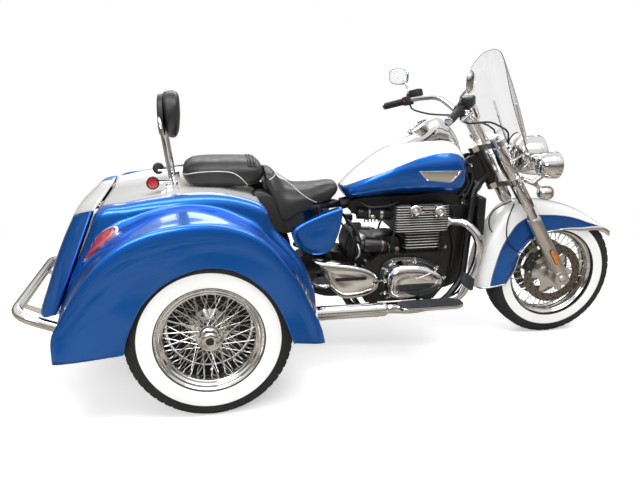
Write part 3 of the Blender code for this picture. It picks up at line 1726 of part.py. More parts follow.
def stand_on_origin():
    """Moves every piece so that the origin is under the middle of the whole length."""
    bpy.context.view_layer.update()
    reach = [
        (item.matrix_world @ Vector(corner)).x
        for item in parts.objects
        if item.type == "MESH"
        for corner in item.bound_box
    ]
    base = bpy.data.objects.new("trike_origin", None)
    base.location.x = -(min(reach) + max(reach)) / 2
    parts.objects.link(base)
    for item in parts.objects:
        if item is not base:
            item.parent = base


def main():
    clear_scene()
    blue = material("blue_paint", (0.01, 0.09, 0.45), 0.25, 0.4)
    white = material("white_paint", (0.85, 0.85, 0.83), 0.3)
    chrome = material("chrome", (0.75, 0.75, 0.76), 0.12, 1.0)
    alloy = material("satin_aluminium", (0.62, 0.62, 0.60), 0.38, 1.0)
    rubber = material("tyre_rubber", (0.02, 0.02, 0.02), 0.8)
    black = material("black_enamel", (0.015, 0.015, 0.016), 0.45)
    leather = material("black_leather", (0.03, 0.03, 0.032), 0.55)
    red = material("red_lens", (0.55, 0.01, 0.01), 0.15)
    glass = material("clear_screen", (0.8, 0.83, 0.85), 0.05)
    rear_wheel(rubber, chrome)
    front_wheel(rubber, chrome, alloy)
    front_axle(alloy)
    fork(alloy, chrome)
    frame(black)
    rear_subframe(black)
    rear_axle(black)
    engine(black, black, chrome)
    side_covers(chrome, blue)
    exhaust(chrome)
    oil_cooler(black)
    fuel_tank(blue, chrome)
    seats(leather)
    trunk(white)
    trunk_lid(white)
    fender(blue)
    tail_light(red)
    backrest(chrome, leather)
    bumper(chrome)
    footboards(black)
    front_fender(white)
    headlight(chrome)
    light_bar(chrome)
    windshield(glass)
    screen_mounts(chrome)
    handlebar(chrome)
    controls(black)
    mirrors(chrome)
    cables(black)
    stand_on_origin()


main()
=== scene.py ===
import bpy
import bmesh
import json
import numpy as np
from math import cos, pi, radians, sin, sqrt, tan
from mathutils import Matrix, Vector
from mathutils.bvhtree import BVHTree

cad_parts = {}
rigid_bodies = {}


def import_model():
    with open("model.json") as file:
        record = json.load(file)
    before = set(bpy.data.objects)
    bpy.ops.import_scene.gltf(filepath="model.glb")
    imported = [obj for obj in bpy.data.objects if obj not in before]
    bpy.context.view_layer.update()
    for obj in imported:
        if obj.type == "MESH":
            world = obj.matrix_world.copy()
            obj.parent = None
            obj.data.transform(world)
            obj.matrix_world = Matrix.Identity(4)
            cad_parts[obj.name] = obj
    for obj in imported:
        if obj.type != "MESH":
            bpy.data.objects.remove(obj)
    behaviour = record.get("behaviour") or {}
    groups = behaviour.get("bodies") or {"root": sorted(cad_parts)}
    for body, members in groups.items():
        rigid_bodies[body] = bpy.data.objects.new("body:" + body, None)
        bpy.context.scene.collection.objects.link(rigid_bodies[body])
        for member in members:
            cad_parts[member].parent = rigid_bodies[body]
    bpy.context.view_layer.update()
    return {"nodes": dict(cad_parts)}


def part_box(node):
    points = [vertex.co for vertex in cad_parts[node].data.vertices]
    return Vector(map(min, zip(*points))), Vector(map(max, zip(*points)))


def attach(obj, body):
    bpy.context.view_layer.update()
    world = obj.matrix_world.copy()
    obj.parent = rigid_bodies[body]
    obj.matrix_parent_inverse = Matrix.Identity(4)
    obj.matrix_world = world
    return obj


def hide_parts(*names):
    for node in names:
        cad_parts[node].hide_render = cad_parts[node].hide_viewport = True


for item in list(bpy.data.objects):
    bpy.data.objects.remove(item, do_unlink=True)
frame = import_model()
nodes = frame["nodes"]
rear_low, rear_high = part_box("rear_wheel_right")
shift = (rear_low.x + rear_high.x) / 2

# Lengths are metres. X points forward from the rear axle, Y to the left and Z up.
OUT = (0, -1, 0)
AHEAD = (1, 0, 0)
CLEARANCE = 0.0003
TYRE_RADIUS = AXLE_HEIGHT = 0.32
FRONT_AXLE = (1.7, 0, AXLE_HEIGHT)
REAR_HALF_TRACK = 0.483
RAKE = radians(31)
HEAD_X = 1.268
LOWER_YOKE, UPPER_YOKE, YOKE_HALF = 0.775, 0.95, 0.014
LEG_OFFSET, LEG_Y = 0.06, -0.115
LAMP_OFFSET, BAR_OFFSET = 0.082, 0.04
BAR_END, BAR_BEND = Vector((0.952, -0.44, 1.111)), Vector((1.067, -0.3, 1.157))
LID_LOW, LID_HIGH, LID_LOW_X, LID_HIGH_X = 0.386, 0.793, -0.574, -0.406
TANK_LOW, TANK_HIGH, TANK_REAR, TANK_FRONT = 0.735, 0.99, 0.62, 1.192
SCREEN_LOW, SCREEN_TOP, SCREEN_HALF = 0.87, 1.3925, 0.235

# Camera


def make_camera():
    """The photograph's camera, solved from the three wheels."""
    yaw, pitch, roll = radians(10.56), radians(15.82), radians(0.32)
    spot = Vector((0.005, -2.8, 1.336))
    focal_pixels, wide_pixels, sensor = 631.8, 640, 36
    ahead = Vector((sin(yaw) * cos(pitch), cos(yaw) * cos(pitch), -sin(pitch)))
    right = Vector((cos(yaw), -sin(yaw), 0))
    up = right.cross(ahead)
    side = right * cos(roll) + up * sin(roll)
    top = up * cos(roll) - right * sin(roll)
    camera = bpy.data.objects.new("camera", bpy.data.cameras.new("camera"))
    place = Matrix((side, top, -ahead)).transposed().to_4x4()
    place.translation = spot + Vector((shift, 0, 0))
    camera.matrix_world = place
    camera.data.sensor_width = sensor
    camera.data.lens = focal_pixels / wide_pixels * sensor
    camera.data.clip_start = 0.05
    bpy.context.scene.collection.objects.link(camera)
    bpy.context.scene.camera = camera


make_camera()

# Materials


def node(tree, kind, operation=None, **inputs):
    """A shader node with the inputs named, _ standing for a space."""
    made = tree.nodes.new("ShaderNode" + kind)
    if operation:
        made.operation = operation
    for key, value in inputs.items():
        made.inputs[key.replace("_", " ")].default_value = value
    return made


def banded(tree, source, stops):
    """The colours of a ramp whose stops are (place, color)."""
    made = node(tree, "ValToRGB")
    elements = made.color_ramp.elements
    while len(elements) < len(stops):
        elements.new(0.5)
    for element, (place, color) in zip(elements, stops):
        element.position = place
        element.color = (*color, 1)
    tree.links.new(source, made.inputs["Fac"])
    return made.outputs["Color"]


def shader_of(name, color, roughness, metallic=0.0, **more):
    made = bpy.data.materials.new(name)
    made.use_nodes = True
    shader = made.node_tree.nodes["Principled BSDF"]
    settings = {"Base_Color": (*color, 1), "Roughness": roughness, "Metallic": metallic, **more}
    for key, value in settings.items():
        shader.inputs[key.replace("_", " ")].default_value = value
    made.diffuse_color = (*color, 1)
    return made


def wire(look, start, socket):
    look.node_tree.links.new(start, look.node_tree.nodes["Principled BSDF"].inputs[socket])


def noise(look, scale, detail=3.0):
    """Noise on the object's own coordinates."""
    tree = look.node_tree
    made = node(tree, "TexNoise", Scale=scale, Detail=detail)
    tree.links.new(node(tree, "TexCoord").outputs["Object"], made.inputs["Vector"])
    return made.outputs["Fac"]


def cells(look, scale, feature="F1"):
    tree = look.node_tree
    made = node(tree, "TexVoronoi")
    made.feature = feature
    made.inputs["Scale"].default_value = scale
    tree.links.new(node(tree, "TexCoord").outputs["Object"], made.inputs["Vector"])
    return made.outputs["Distance"]


def ramp(look, source, stops):
    wire(look, banded(look.node_tree, source, stops), "Base Color")


def span(look, source, low, high):
    """Roughness between low and high."""
    made = node(look.node_tree, "MapRange", From_Min=0.3, From_Max=0.7, To_Min=low, To_Max=high)
    look.node_tree.links.new(source, made.inputs["Value"])
    wire(look, made.outputs["Result"], "Roughness")


def bump(look, source, strength, distance):
    """Adds a bump on top of those that the look has."""
    tree = look.node_tree
    normal = tree.nodes["Principled BSDF"].inputs["Normal"]
    made = node(tree, "Bump", Strength=strength, Distance=distance)
    tree.links.new(source, made.inputs["Height"])
    if normal.is_linked:
        tree.links.new(normal.links[0].from_socket, made.inputs["Normal"])
    tree.links.new(made.outputs["Normal"], normal)


def shade(color, share):
    return tuple(min(1, c * share) for c in color)


def painted(name, color, flake=None, metallic=0.0, roughness=0.35):
    look = shader_of(name, color, roughness, metallic, Coat_Weight=0.8, Coat_Roughness=0.03)
    if flake:
        ramp(look, noise(look, 2600, 1), [(0.42, shade(color, 0.72)), (0.5, color), (0.64, flake)])
    else:
        ramp(look, noise(look, 5, 4), [(0.3, shade(color, 0.97)), (0.7, color)])
    bump(look, noise(look, 900, 2), 0.012, 0.0006)
    bump(look, noise(look, 60, 2), 0.015, 0.002)
    return look


def metal(name, color, low, high, scale=14, strength=0.01):
    look = shader_of(name, color, low, 1.0)
    span(look, noise(look, scale, 6), low, high)
    ramp(look, noise(look, 9, 4), [(0.3, shade(color, 0.94)), (0.7, color)])
    bump(look, noise(look, 260, 3), strength, 0.0006)
    return look


def plain(name, color, low, high, scale, strength=0.2, grain=700):
    look = shader_of(name, color, low)
    span(look, noise(look, scale, 5), low, high)
    ramp(look, noise(look, scale * 0.6, 5), [(0.3, shade(color, 0.75)), (0.7, shade(color, 1.2))])
    bump(look, noise(look, grain, 3), strength, 0.0006)
    return look


blue = painted("blue_paint", (0.0004, 0.095, 0.44), (0.002, 0.22, 0.88), 0.88, 0.34)
white = painted("white_paint", (0.8, 0.8, 0.79), None, 0.0, 0.3)
pinstripe = painted("pinstripe", (0.1, 0.1, 0.11), None, 0.3, 0.3)
chrome = metal("chrome", (0.74, 0.735, 0.73), 0.03, 0.09)
satin = metal("satin_aluminium", (0.66, 0.635, 0.59), 0.3, 0.42, 30, 0.02)
steel = metal("brake_steel", (0.2, 0.175, 0.15), 0.26, 0.4, 40)
finish_edge = metal("machined_edge", (0.66, 0.65, 0.63), 0.32, 0.44, 80)
spoke = metal("spoke_steel", (0.78, 0.77, 0.75), 0.22, 0.32, 40)
black = plain("black_enamel", (0.0045, 0.0045, 0.005), 0.3, 0.45, 18, 0.1, 500)
plastic = plain("switch_plastic", (0.01, 0.01, 0.011), 0.42, 0.6, 60, 0.35, 1300)
rubber = plain("tyre_rubber", (0.011, 0.011, 0.0115), 0.62, 0.85, 40, 0.3, 900)
whitewall = painted("whitewall", (0.84, 0.84, 0.82), None, 0.0, 0.45)
mat_rubber = plain("footboard_rubber", (0.022, 0.024, 0.029), 0.5, 0.7, 50, 0.3, 900)
brass = metal("bare_fitting", (0.5, 0.47, 0.4), 0.25, 0.4, 60)
piping = plain("white_piping", (0.62, 0.61, 0.58), 0.4, 0.6, 90, 0.2, 1200)
carpet = plain("trunk_lining", (0.02, 0.02, 0.021), 0.9, 1.0, 120, 0.8, 1500)
mirror_glass = metal("mirror_glass", (0.86, 0.87, 0.88), 0.015, 0.03, 6, 0.0)


def leather_look():
    look = plain("black_leather", (0.014, 0.0135, 0.014), 0.36, 0.5, 30, 0.1, 900)
    bump(look, cells(look, 520), 0.28, 0.0008)
    bump(look, cells(look, 190, "SMOOTH_F1"), 0.12, 0.0012)
    return look


def lens(name, color, scale):
    look = shader_of(name, color, 0.08, 0.0, Coat_Weight=1.0, Coat_Roughness=0.02, IOR=1.5)
    # Each cell of the lens is lighter in its middle and darker at its rim: painted glints and painted shade on
    # the lens's facets, whose shape the bump gives
    ramp(
        look, cells(look, scale),
        [(0.0, tuple(min(1, c * 1.5 + 0.02) for c in color)), (0.6, shade(color, 0.55))]
    )
    bump(look, cells(look, scale), 0.5, 0.002)
    return look


def clear(name, tint, roughness, scale, strength, ior=1.45):
    look = shader_of(name, tint, roughness, 0.0, Transmission_Weight=1.0, IOR=ior)
    bump(look, noise(look, scale, 2), strength, 0.001)
    return look


leather = leather_look()
green_band = plain("green_band", (0.02, 0.16, 0.05), 0.4, 0.6, 90, 0.2, 1200)
red_lens = lens("red_lens", (0.42, 0.002, 0.006), 160)
amber_lens = lens("amber_lens", (0.75, 0.19, 0.01), 220)
lamp_glass = clear("lamp_glass", (0.97, 0.98, 0.98), 0.02, 90, 0.25)
# The mirror's face is a light grey colour mottled by noise, not a mirror: a painted reflection of the bright
# room
mirror_painted_reflection = shader_of("mirror_painted_reflection", (0.8, 0.81, 0.82), 0.06)
ramp(mirror_painted_reflection, noise(mirror_painted_reflection, 60, 2), [(0.3, (0.77, 0.78, 0.79)), (0.7, (0.82, 0.83, 0.84))])
dial_face = shader_of("dial_face", (0.62, 0.62, 0.6), 0.4)
ramp(dial_face, noise(dial_face, 80, 2), [(0.3, (0.55, 0.55, 0.54)), (0.7, (0.66, 0.66, 0.64))])
acrylic = clear("clear_screen", (0.875, 0.875, 0.88), 0.0, 8, 0.01, 1.3)


# Shape building, in coordinates whose X is zero at the rear axle


def milli(wide, *numbers):
    """Rows of that many numbers, given in thousandths: lengths in millimetres, shares per mille."""
    return [tuple(n / 1000 for n in numbers[i : i + wide]) for i in range(0, len(numbers), wide)]


def between(low, high, share):
    return low + (high - low) * share


def spread(shares, low, high):
    return [tuple(between(a, b, s) for a, b, s in zip(low, high, row)) for row in shares]


def through(points, per=4):
    """A smooth line of points, or of rows of points, through those given."""
    points = np.array([list(p) for p in points] if not isinstance(points, np.ndarray) else points, float)
    made = []
    for i, (b, c) in enumerate(zip(points, points[1:])):
        a = points[i - 1] if i else 2 * b - c
        d = points[i + 2] if i + 2 < len(points) else 2 * c - b
        for step in range(per):
            t = step / per
            curved = (2 * a - 5 * b + 4 * c - d) * t * t
            made.append(0.5 * (2 * b + (c - a) * t + curved + (3 * b - a - 3 * c + d) * t**3))
    made.append(points[-1])
    return np.array(made)


def softened(rows, times=2, closed=False):
    """Rows of points with their corners cut."""
    rows = np.array(rows, float)
    for _ in range(times):
        a = rows if closed else rows[:, :-1]
        b = np.roll(rows, -1, axis=1) if closed else rows[:, 1:]
        made = np.empty((rows.shape[0], 2 * a.shape[1], 3))
        made[:, 0::2] = a * 0.75 + b * 0.25
        made[:, 1::2] = a * 0.25 + b * 0.75
        rows = made if closed else np.concatenate([rows[:, :1], made, rows[:, -1:]], axis=1)
    return rows


def bent(points, radius, steps=6):
    """A path whose inner corners are rounded."""
    points = [Vector(point) for point in points]
    path = [points[0]]
    for before, corner, after in zip(points, points[1:], points[2:]):
        reach = min(radius, (corner - before).length / 2, (after - corner).length / 2)
        start = corner + (before - corner).normalized() * reach
        end = corner + (after - corner).normalized() * reach
        for step in range(steps + 1):
            share = step / steps
            path.append(start.lerp(corner, share).lerp(corner.lerp(end, share), share))
    path.append(points[-1])
    return path


def raked(height, offset=0.0, y=0.0):
    on_axis = Vector((HEAD_X + (UPPER_YOKE - height) * tan(RAKE), 0, height))
    return on_axis + Vector((cos(RAKE) * offset, y, sin(RAKE) * offset))


def polar(centre_x, radius, degrees, y):
    angle = radians(degrees)
    return Vector((centre_x + radius * cos(angle), y, AXLE_HEIGHT + radius * sin(angle)))


def superellipse(x, half_width, low, high, power=2.8, count=48):
    """A squared oval across the trike at x."""
    ring = []
    for t in range(count):
        turn = 2 * pi * t / count
        across, up = (abs(way) ** (2 / power) * (1 if way > 0 else -1) for way in (cos(turn), sin(turn)))
        ring.append((x, half_width * across, (low + high) / 2 + (high - low) / 2 * up))
    return ring


def middle_of(outline):
    return [sum(point[i] for point in outline) / len(outline) for i in (0, 1)]


def sized(outline, middle, size):
    """An outline of (u, v) made larger or smaller about its middle."""
    return [(between(middle[0], u, size), between(middle[1], v, size)) for u, v in outline]


def scaled(profile, radius, depth):
    return [(radius * r, depth * a) for r, a in profile]


def grid_tree(rows, ring=False):
    """A tree for casting rays at a grid of points."""
    wide = len(rows[0])
    faces = [
        (i * wide + j, i * wide + (j + 1) % wide, (i + 1) * wide + (j + 1) % wide, (i + 1) * wide + j)
        for i in range(len(rows) - 1)
        for j in range(wide if ring else wide - 1)
    ]
    return BVHTree.FromPolygons([Vector(p) for row in rows for p in row], faces)


def framed(axis):
    """A unit axis with two directions square to it."""
    axis = Vector(axis).normalized()
    side = Vector((0, 0, 1)).cross(axis)
    side = side.normalized() if side.length > 0.01 else Vector(AHEAD)
    return axis, side, axis.cross(side)


class Shape:
    def __init__(self):
        self.points = []
        self.faces = []
        self.marks = []
        self.looks = []

    def mark(self, look):
        if look not in self.looks:
            self.looks.append(look)
        return self.looks.index(look)

    def face(self, indices, look):
        self.faces.append(tuple(indices))
        self.marks.append(self.mark(look))

    def grid(self, rows, look, ring=False, capped=False, pick=None):
        if not isinstance(rows, np.ndarray):
            rows = np.array([[list(p) for p in row] for row in rows], float)
        count, wide = rows.shape[:2]
        base = len(self.points)
        self.points.extend(map(tuple, rows.reshape(-1, 3)))
        for i in range(count - 1):
            for j in range(wide if ring else wide - 1):
                k = (j + 1) % wide
                corners = (
                    base + i * wide + j, base + i * wide + k, base + (i + 1) * wide + k,
                    base + (i + 1) * wide + j
                )
                self.face(corners, pick(i, j) if pick else look)
        if capped:
            for i in (0, count - 1):
                self.face([base + i * wide + j for j in range(wide)], look)
        return self

    def turned(self, profile, centre, axis, look, steps=48, pick=None, phase=0.0):
        """A profile of (radius, along) points turned about an axis through centre."""
        axis, side, up = framed(axis)
        centre = Vector(centre)
        turns = [2 * pi * t / steps + phase for t in range(steps)]
        ways = [side * cos(turn) + up * sin(turn) for turn in turns]
        rows = [[centre + axis * a + way * r for way in ways] for r, a in profile]
        return self.grid(rows, look, ring=True, pick=pick)

    def sweep(self, path, radius, look, sides=12, flat=1.0):
        """A round bar along a path; radius may be one number a point."""
        path = [Vector(p) for p in path]
        radii = radius if isinstance(radius, (list, tuple)) else [radius] * len(path)
        turns = [2 * pi * t / sides for t in range(sides)]
        rows = []
        side = None
        for i, point in enumerate(path):
            ahead = (path[min(i + 1, len(path) - 1)] - path[max(i - 1, 0)]).normalized()
            if side is None:
                side = framed(ahead)[1]
            side = (side - ahead * side.dot(ahead)).normalized()
            up = ahead.cross(side)
            ways = [side * cos(turn) + up * sin(turn) * flat for turn in turns]
            rows.append([point + way * radii[i] for way in ways])
        return self.grid(rows, look, ring=True, capped=True)

    def take(self, bm, look):
        bm.verts.index_update()
        base = len(self.points)
        self.points.extend(tuple(v.co) for v in bm.verts)
        for face in bm.faces:
            self.face([base + v.index for v in face.verts], look)
        bm.free()
        return self

    def slab(self, low, high, look, soft=0.003, turn=None, segments=2):
        """A box with rounded edges; turn sets it about its middle."""
        low, high = Vector(low), Vector(high)
        bm = bmesh.new()
        middle = (low + high) / 2
        bmesh.ops.create_cube(bm, size=1, matrix=Matrix.Diagonal((*(high - low), 1)))
        if soft:
            bmesh.ops.bevel(bm, geom=bm.edges, offset=soft, segments=segments, affect="EDGES", profile=0.5)
        bm.transform(Matrix.Translation(middle) @ (turn or Matrix.Identity(4)))
        return self.take(bm, look)

    def prism(self, outline, low, high, look, axis="Y", soft=0.0, edge=None):
        """An outline of (u, v) drawn out along Y, where v is a height, or along Z."""
        count = len(outline)
        centre = middle_of(outline)

        def ring(depth, inset):
            made = []
            for u, v in outline:
                away = sqrt((u - centre[0]) ** 2 + (v - centre[1]) ** 2) or 1
                u2, v2 = u - (u - centre[0]) / away * inset, v - (v - centre[1]) / away * inset
                made.append((u2, depth, v2) if axis == "Y" else (u2, v2, depth))
            return made

        ends = [(low, soft), (low + soft, 0), (high - soft, 0), (high, soft)] if soft else [(low, 0), (high, 0)]
        rings = [ring(depth, inset) for depth, inset in ends]
        base = len(self.points)
        self.grid(rings, edge or look, ring=True)
        for row in (0, len(rings) - 1):
            self.face([base + row * count + j for j in range(count)], look)
        return self

    def close(self, line, look):
        """One face within a closed line of points."""
        base = len(self.points)
        self.points.extend(map(tuple, line))
        self.face(range(base, base + len(line)), look)

    def bolt(self, centre, axis, radius, look, depth=None):
        depth = depth or radius * 0.7
        profile = [
            (0, depth), (radius * 0.55, depth), (radius * 0.6, depth * 0.75), (radius * 0.85, depth),
            (radius, depth * 0.8), (radius, 0)
        ]
        return self.turned(profile, centre, axis, look, 6)

    def twin(self):
        """The left-hand copy of a right-hand shape."""
        made = Shape()
        made.points = [(x, -y, z) for x, y, z in self.points]
        made.faces = [tuple(reversed(face)) for face in self.faces]
        made.marks = list(self.marks)
        made.looks = list(self.looks)
        return made

    def both(self):
        """Adds the left-hand copy to this shape."""
        other = self.twin()
        base = len(self.points)
        self.points += other.points
        self.faces += [tuple(base + i for i in face) for face in other.faces]
        self.marks += other.marks
        return self

    def join(self, other, place=None):
        """Adds another shape, moved by place when one is given."""
        base = len(self.points)
        self.points += [tuple(place @ Vector(p)) if place else p for p in other.points]
        for face, mark in zip(other.faces, other.marks):
            self.face([base + i for i in face], other.looks[mark])
        return self

    def make(
        self, name, body, slot, stands_for=(), sharp=35, wall=0.0, offset=-1.0, inside=None, weld=1e-5,
        outward=True
    ):
        """Makes the object, gives it its body, and hides the nodes that it stands for."""
        mesh = bpy.data.meshes.new(name)
        bm = bmesh.new()
        verts = [bm.verts.new((x + shift, y, z)) for x, y, z in self.points]
        for indices, mark in zip(self.faces, self.marks):
            corners = [verts[i] for i in indices]
            if len(set(indices)) > 2 and not bm.faces.get(corners):
                bm.faces.new(corners).material_index = mark
        if weld:
            bmesh.ops.remove_doubles(bm, verts=bm.verts, dist=weld)
        if outward:
            bmesh.ops.recalc_face_normals(bm, faces=bm.faces)
        bm.to_mesh(mesh)
        bm.free()
        for look in self.looks:
            mesh.materials.append(look)
        if inside:
            mesh.materials.append(inside)
        mesh.shade_smooth()
        mesh.set_sharp_from_angle(angle=radians(sharp))
        piece = bpy.data.objects.new(name, mesh)
        bpy.context.scene.collection.objects.link(piece)
        if wall:
            thick = piece.modifiers.new("Wall", "SOLIDIFY")
            thick.thickness = wall
            thick.offset = offset
            thick.use_even_offset = True
            if inside:
                thick.material_offset = len(self.looks)
        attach(piece, body)
        if stands_for:
            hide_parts(*([stands_for] if isinstance(stands_for, str) else stands_for))
        return piece

    def pair(self, name, body, slot, stands_for, *more, **options):
        """The shape on the right and its copy on the left, for a right and a left node."""
        self.make(name + "_right", body, slot, stands_for + "_right", *more, **options)
        self.twin().make(name + "_left", body, slot, stands_for + "_left", *more, **options)


# Stage and light


def link_path(tree, *rays):
    """One for the rays named, nothing for the others."""
    path = node(tree, "LightPath")
    source = path.outputs[rays[0]]
    for ray in rays[1:]:
        most = node(tree, "Math", "MAXIMUM")
        tree.links.new(source, most.inputs[0])
        tree.links.new(path.outputs[ray], most.inputs[1])
        source = most.outputs[0]
    return source


def mixed(tree, share, low, high):
    """Low's shader where share is 0, and high's where it is 1."""
    made = node(tree, "MixShader")
    tree.links.new(share, made.inputs["Fac"])
    tree.links.new(low.outputs[0], made.inputs[1])
    tree.links.new(high.outputs[0], made.inputs[2])
    return made


def by_ray(tree, light, reflected, seen):
    """What lights the trike, what its chrome mirrors and what the camera sees, told apart by Light Path."""
    shiny = mixed(tree, link_path(tree, "Is Glossy Ray"), light, reflected)
    return mixed(tree, link_path(tree, "Is Camera Ray", "Is Transmission Ray"), shiny, seen).outputs[0]


def make_floor():
    """A white floor that keeps the shadow, fades into the white behind it, and is grey in reflections."""
    reach = 30
    floor = bpy.data.objects.new("floor", bpy.data.meshes.new("floor"))
    corners = [(-reach, -reach, 0), (reach, -reach, 0), (reach, reach, 0), (-reach, reach, 0)]
    floor.data.from_pydata(corners, [], [(0, 1, 2, 3)])
    look = shader_of("floor", (0.86, 0.86, 0.86), 0.9, Specular_IOR_Level=0.0)
    tree = look.node_tree
    shader = tree.nodes["Principled BSDF"]
    lit = node(tree, "AddShader")
    tree.links.new(shader.outputs[0], lit.inputs[0])
    tree.links.new(node(tree, "Emission", Strength=0.42).outputs[0], lit.inputs[1])
    place = node(tree, "TexCoord").outputs["Object"]
    away = node(tree, "VectorMath", "LENGTH")
    tree.links.new(place, away.inputs[0])
    fade = node(tree, "MapRange", From_Min=1.5, From_Max=3.2)
    fade.interpolation_type = "SMOOTHSTEP"
    tree.links.new(away.outputs["Value"], fade.inputs["Value"])
    seen = mixed(tree, fade.outputs["Result"], lit, node(tree, "Emission"))
    patches = node(tree, "TexNoise", Scale=2.2, Detail=2)
    tree.links.new(place, patches.inputs["Vector"])
    grey = node(tree, "BsdfDiffuse")
    tones = banded(tree, patches.outputs["Fac"], ((0.36, (0.1, 0.082, 0.064)), (0.55, (0.5, 0.455, 0.39))))
    tree.links.new(tones, grey.inputs["Color"])
    tree.links.new(by_ray(tree, shader, grey, seen), tree.nodes["Material Output"].inputs["Surface"])
    floor.data.materials.append(look)
    bpy.context.scene.collection.objects.link(floor)


HORIZON = (
    (0.0, (0.2, 0.18, 0.155)), (0.15, (0.22, 0.2, 0.17)), (0.21, (0.05, 0.044, 0.038)),
    (0.29, (0.1, 0.09, 0.08)), (0.34, (0.5, 0.48, 0.45)), (0.43, (0.2, 0.19, 0.18)),
    (0.52, (0.8, 0.8, 0.8)), (0.8, (1, 1, 1)),
)


def make_world():
    """White behind the trike, softer white light on it, and a dark band low round the horizon in its chrome."""
    world = bpy.context.scene.world or bpy.data.worlds.new("world")
    bpy.context.scene.world = world
    world.use_nodes = True
    tree = world.node_tree
    tree.nodes.clear()
    seen = node(tree, "Background", Color=(1, 1, 1, 1))
    soft = node(tree, "Background", Color=(1, 1, 1, 1), Strength=0.66)
    shiny = node(tree, "Background")
    place = node(tree, "TexCoord").outputs["Generated"]
    height = node(tree, "SeparateXYZ")
    tree.links.new(place, height.inputs[0])
    wave = node(tree, "TexNoise", Scale=2.6, Detail=3)
    tree.links.new(place, wave.inputs["Vector"])
    stir = node(tree, "Math", "MULTIPLY_ADD")
    stir.inputs[1].default_value = 0.3
    tree.links.new(wave.outputs["Fac"], stir.inputs[0])
    tree.links.new(height.outputs["Z"], stir.inputs[2])
    tree.links.new(banded(tree, stir.outputs[0], HORIZON), shiny.inputs["Color"])
    tree.links.new(by_ray(tree, soft, shiny, seen), node(tree, "OutputWorld").inputs["Surface"])


def lamp(name, place, target, size, power, size_y=None):
    made = bpy.data.objects.new(name, bpy.data.lights.new(name, "AREA"))
    made.data.shape = "RECTANGLE"
    made.data.size = size
    made.data.size_y = size_y or size
    made.data.energy = power
    made.location = Vector(place) + Vector((shift, 0, 0))
    aim = Vector(target) + Vector((shift, 0, 0)) - made.location
    made.rotation_euler = aim.to_track_quat("-Z", "Y").to_euler()
    bpy.context.scene.collection.objects.link(made)


make_floor()
make_world()
lamp("top_light", (0.6, -1.2, 3.6), (0.7, 0, 0.5), 4.5, 112, 1.6)
lamp("side_light", (-1.5, -4.2, 2.6), (0.7, 0, 0.6), 2.2, 72, 1.2)
lamp("rear_light", (0.8, 3.4, 3.0), (0.7, 0, 0.6), 4.0, 60, 1.2)

# Wheels and tyres


def tyre_profile(rim_radius, half_width, tread, grooves):
    """Half of a tyre's section from the rim to the middle of the tread."""
    points = [
        (rim_radius - 0.004, half_width * 0.9),
        (rim_radius + 0.003, half_width * 0.955),
        (rim_radius + 0.012, half_width * 0.985),
        (between(rim_radius, TYRE_RADIUS, 0.3), half_width * 0.999),
        (between(rim_radius, TYRE_RADIUS, 0.45), half_width * 0.997),
        (0.2705, half_width * 0.985),
        (0.2735, half_width * 0.972),
        (0.285, half_width * 0.955),
        (0.298, half_width * 0.9),
        (0.308, half_width * 0.82),
    ]
    points += [(0.3145, tread), (0.3175, tread * 0.92)]
    for place in grooves:
        points += [
            (0.3185, tread * place + 0.003), (0.3135, tread * place + 0.002), (0.3135, tread * place - 0.002),
            (0.3188, tread * place - 0.003)
        ]
    return points + [(0.3195, 0.0)]


def tyre(name, stands_for, body, centre, rim_radius, width, tread, grooves, sipes):
    """A tyre with a white wall, grooves round it and sipes cut into its shoulders."""
    shoulder, sipe_share, sipe_depth, wall_end = 0.308, 0.16, 0.0045, 0.271
    half = tyre_profile(rim_radius, width / 2, tread, grooves)
    profile = half + [(r, -a) for r, a in reversed(half[:-1])]
    steps = 288
    rows = []
    for radius, along in profile:
        line = []
        for t in range(steps):
            share = t / steps
            r = radius
            if shoulder < radius and abs(along) > tread * 0.28:
                place = (share * sipes + (0.5 if along > 0 else 0) + abs(along) * 6) % 1.0
                if place < sipe_share:
                    r -= sipe_depth
            angle = 2 * pi * share
            line.append((centre[0] + r * cos(angle), centre[1] + along, centre[2] + r * sin(angle)))
        rows.append(line)
    shape = Shape()

    def pick(i, j):
        low = min(profile[i][0], profile[i + 1][0])
        high = max(profile[i][0], profile[i + 1][0])
        return whitewall if low >= rim_radius + 0.002 and high <= wall_end else rubber

    shape.grid(rows, rubber, ring=True, pick=pick)
    shape.make(name, body, "tyre_rubber", stands_for, 50)


def around(centre, radius, angle, along):
    """A point at that radius and angle from a line along Y through centre."""
    return Vector(centre) + Vector((cos(angle) * radius, along, sin(angle) * radius))


def wire_spokes(shape, centre, count, foot_radius, foot_along, head_radius, head_along, lean, out):
    """Spokes from one hub flange; along is measured towards out."""
    thick = 0.0018
    for i in range(count):
        way = 1 if i % 2 else -1
        base = 2 * pi * i / count
        foot_angle = base - way * lean
        foot = around(centre, foot_radius, foot_angle, out * (foot_along - 0.004 * (i % 2)))
        head = around(centre, head_radius, base, out * (head_along + 0.01 * way))
        shape.sweep([foot, head], thick, spoke, 7)
        nipple = [foot.lerp(head, 0.89), foot.lerp(head, 0.92), head]
        shape.sweep(nipple, [thick, thick * 1.5, thick * 1.6], spoke, 7)


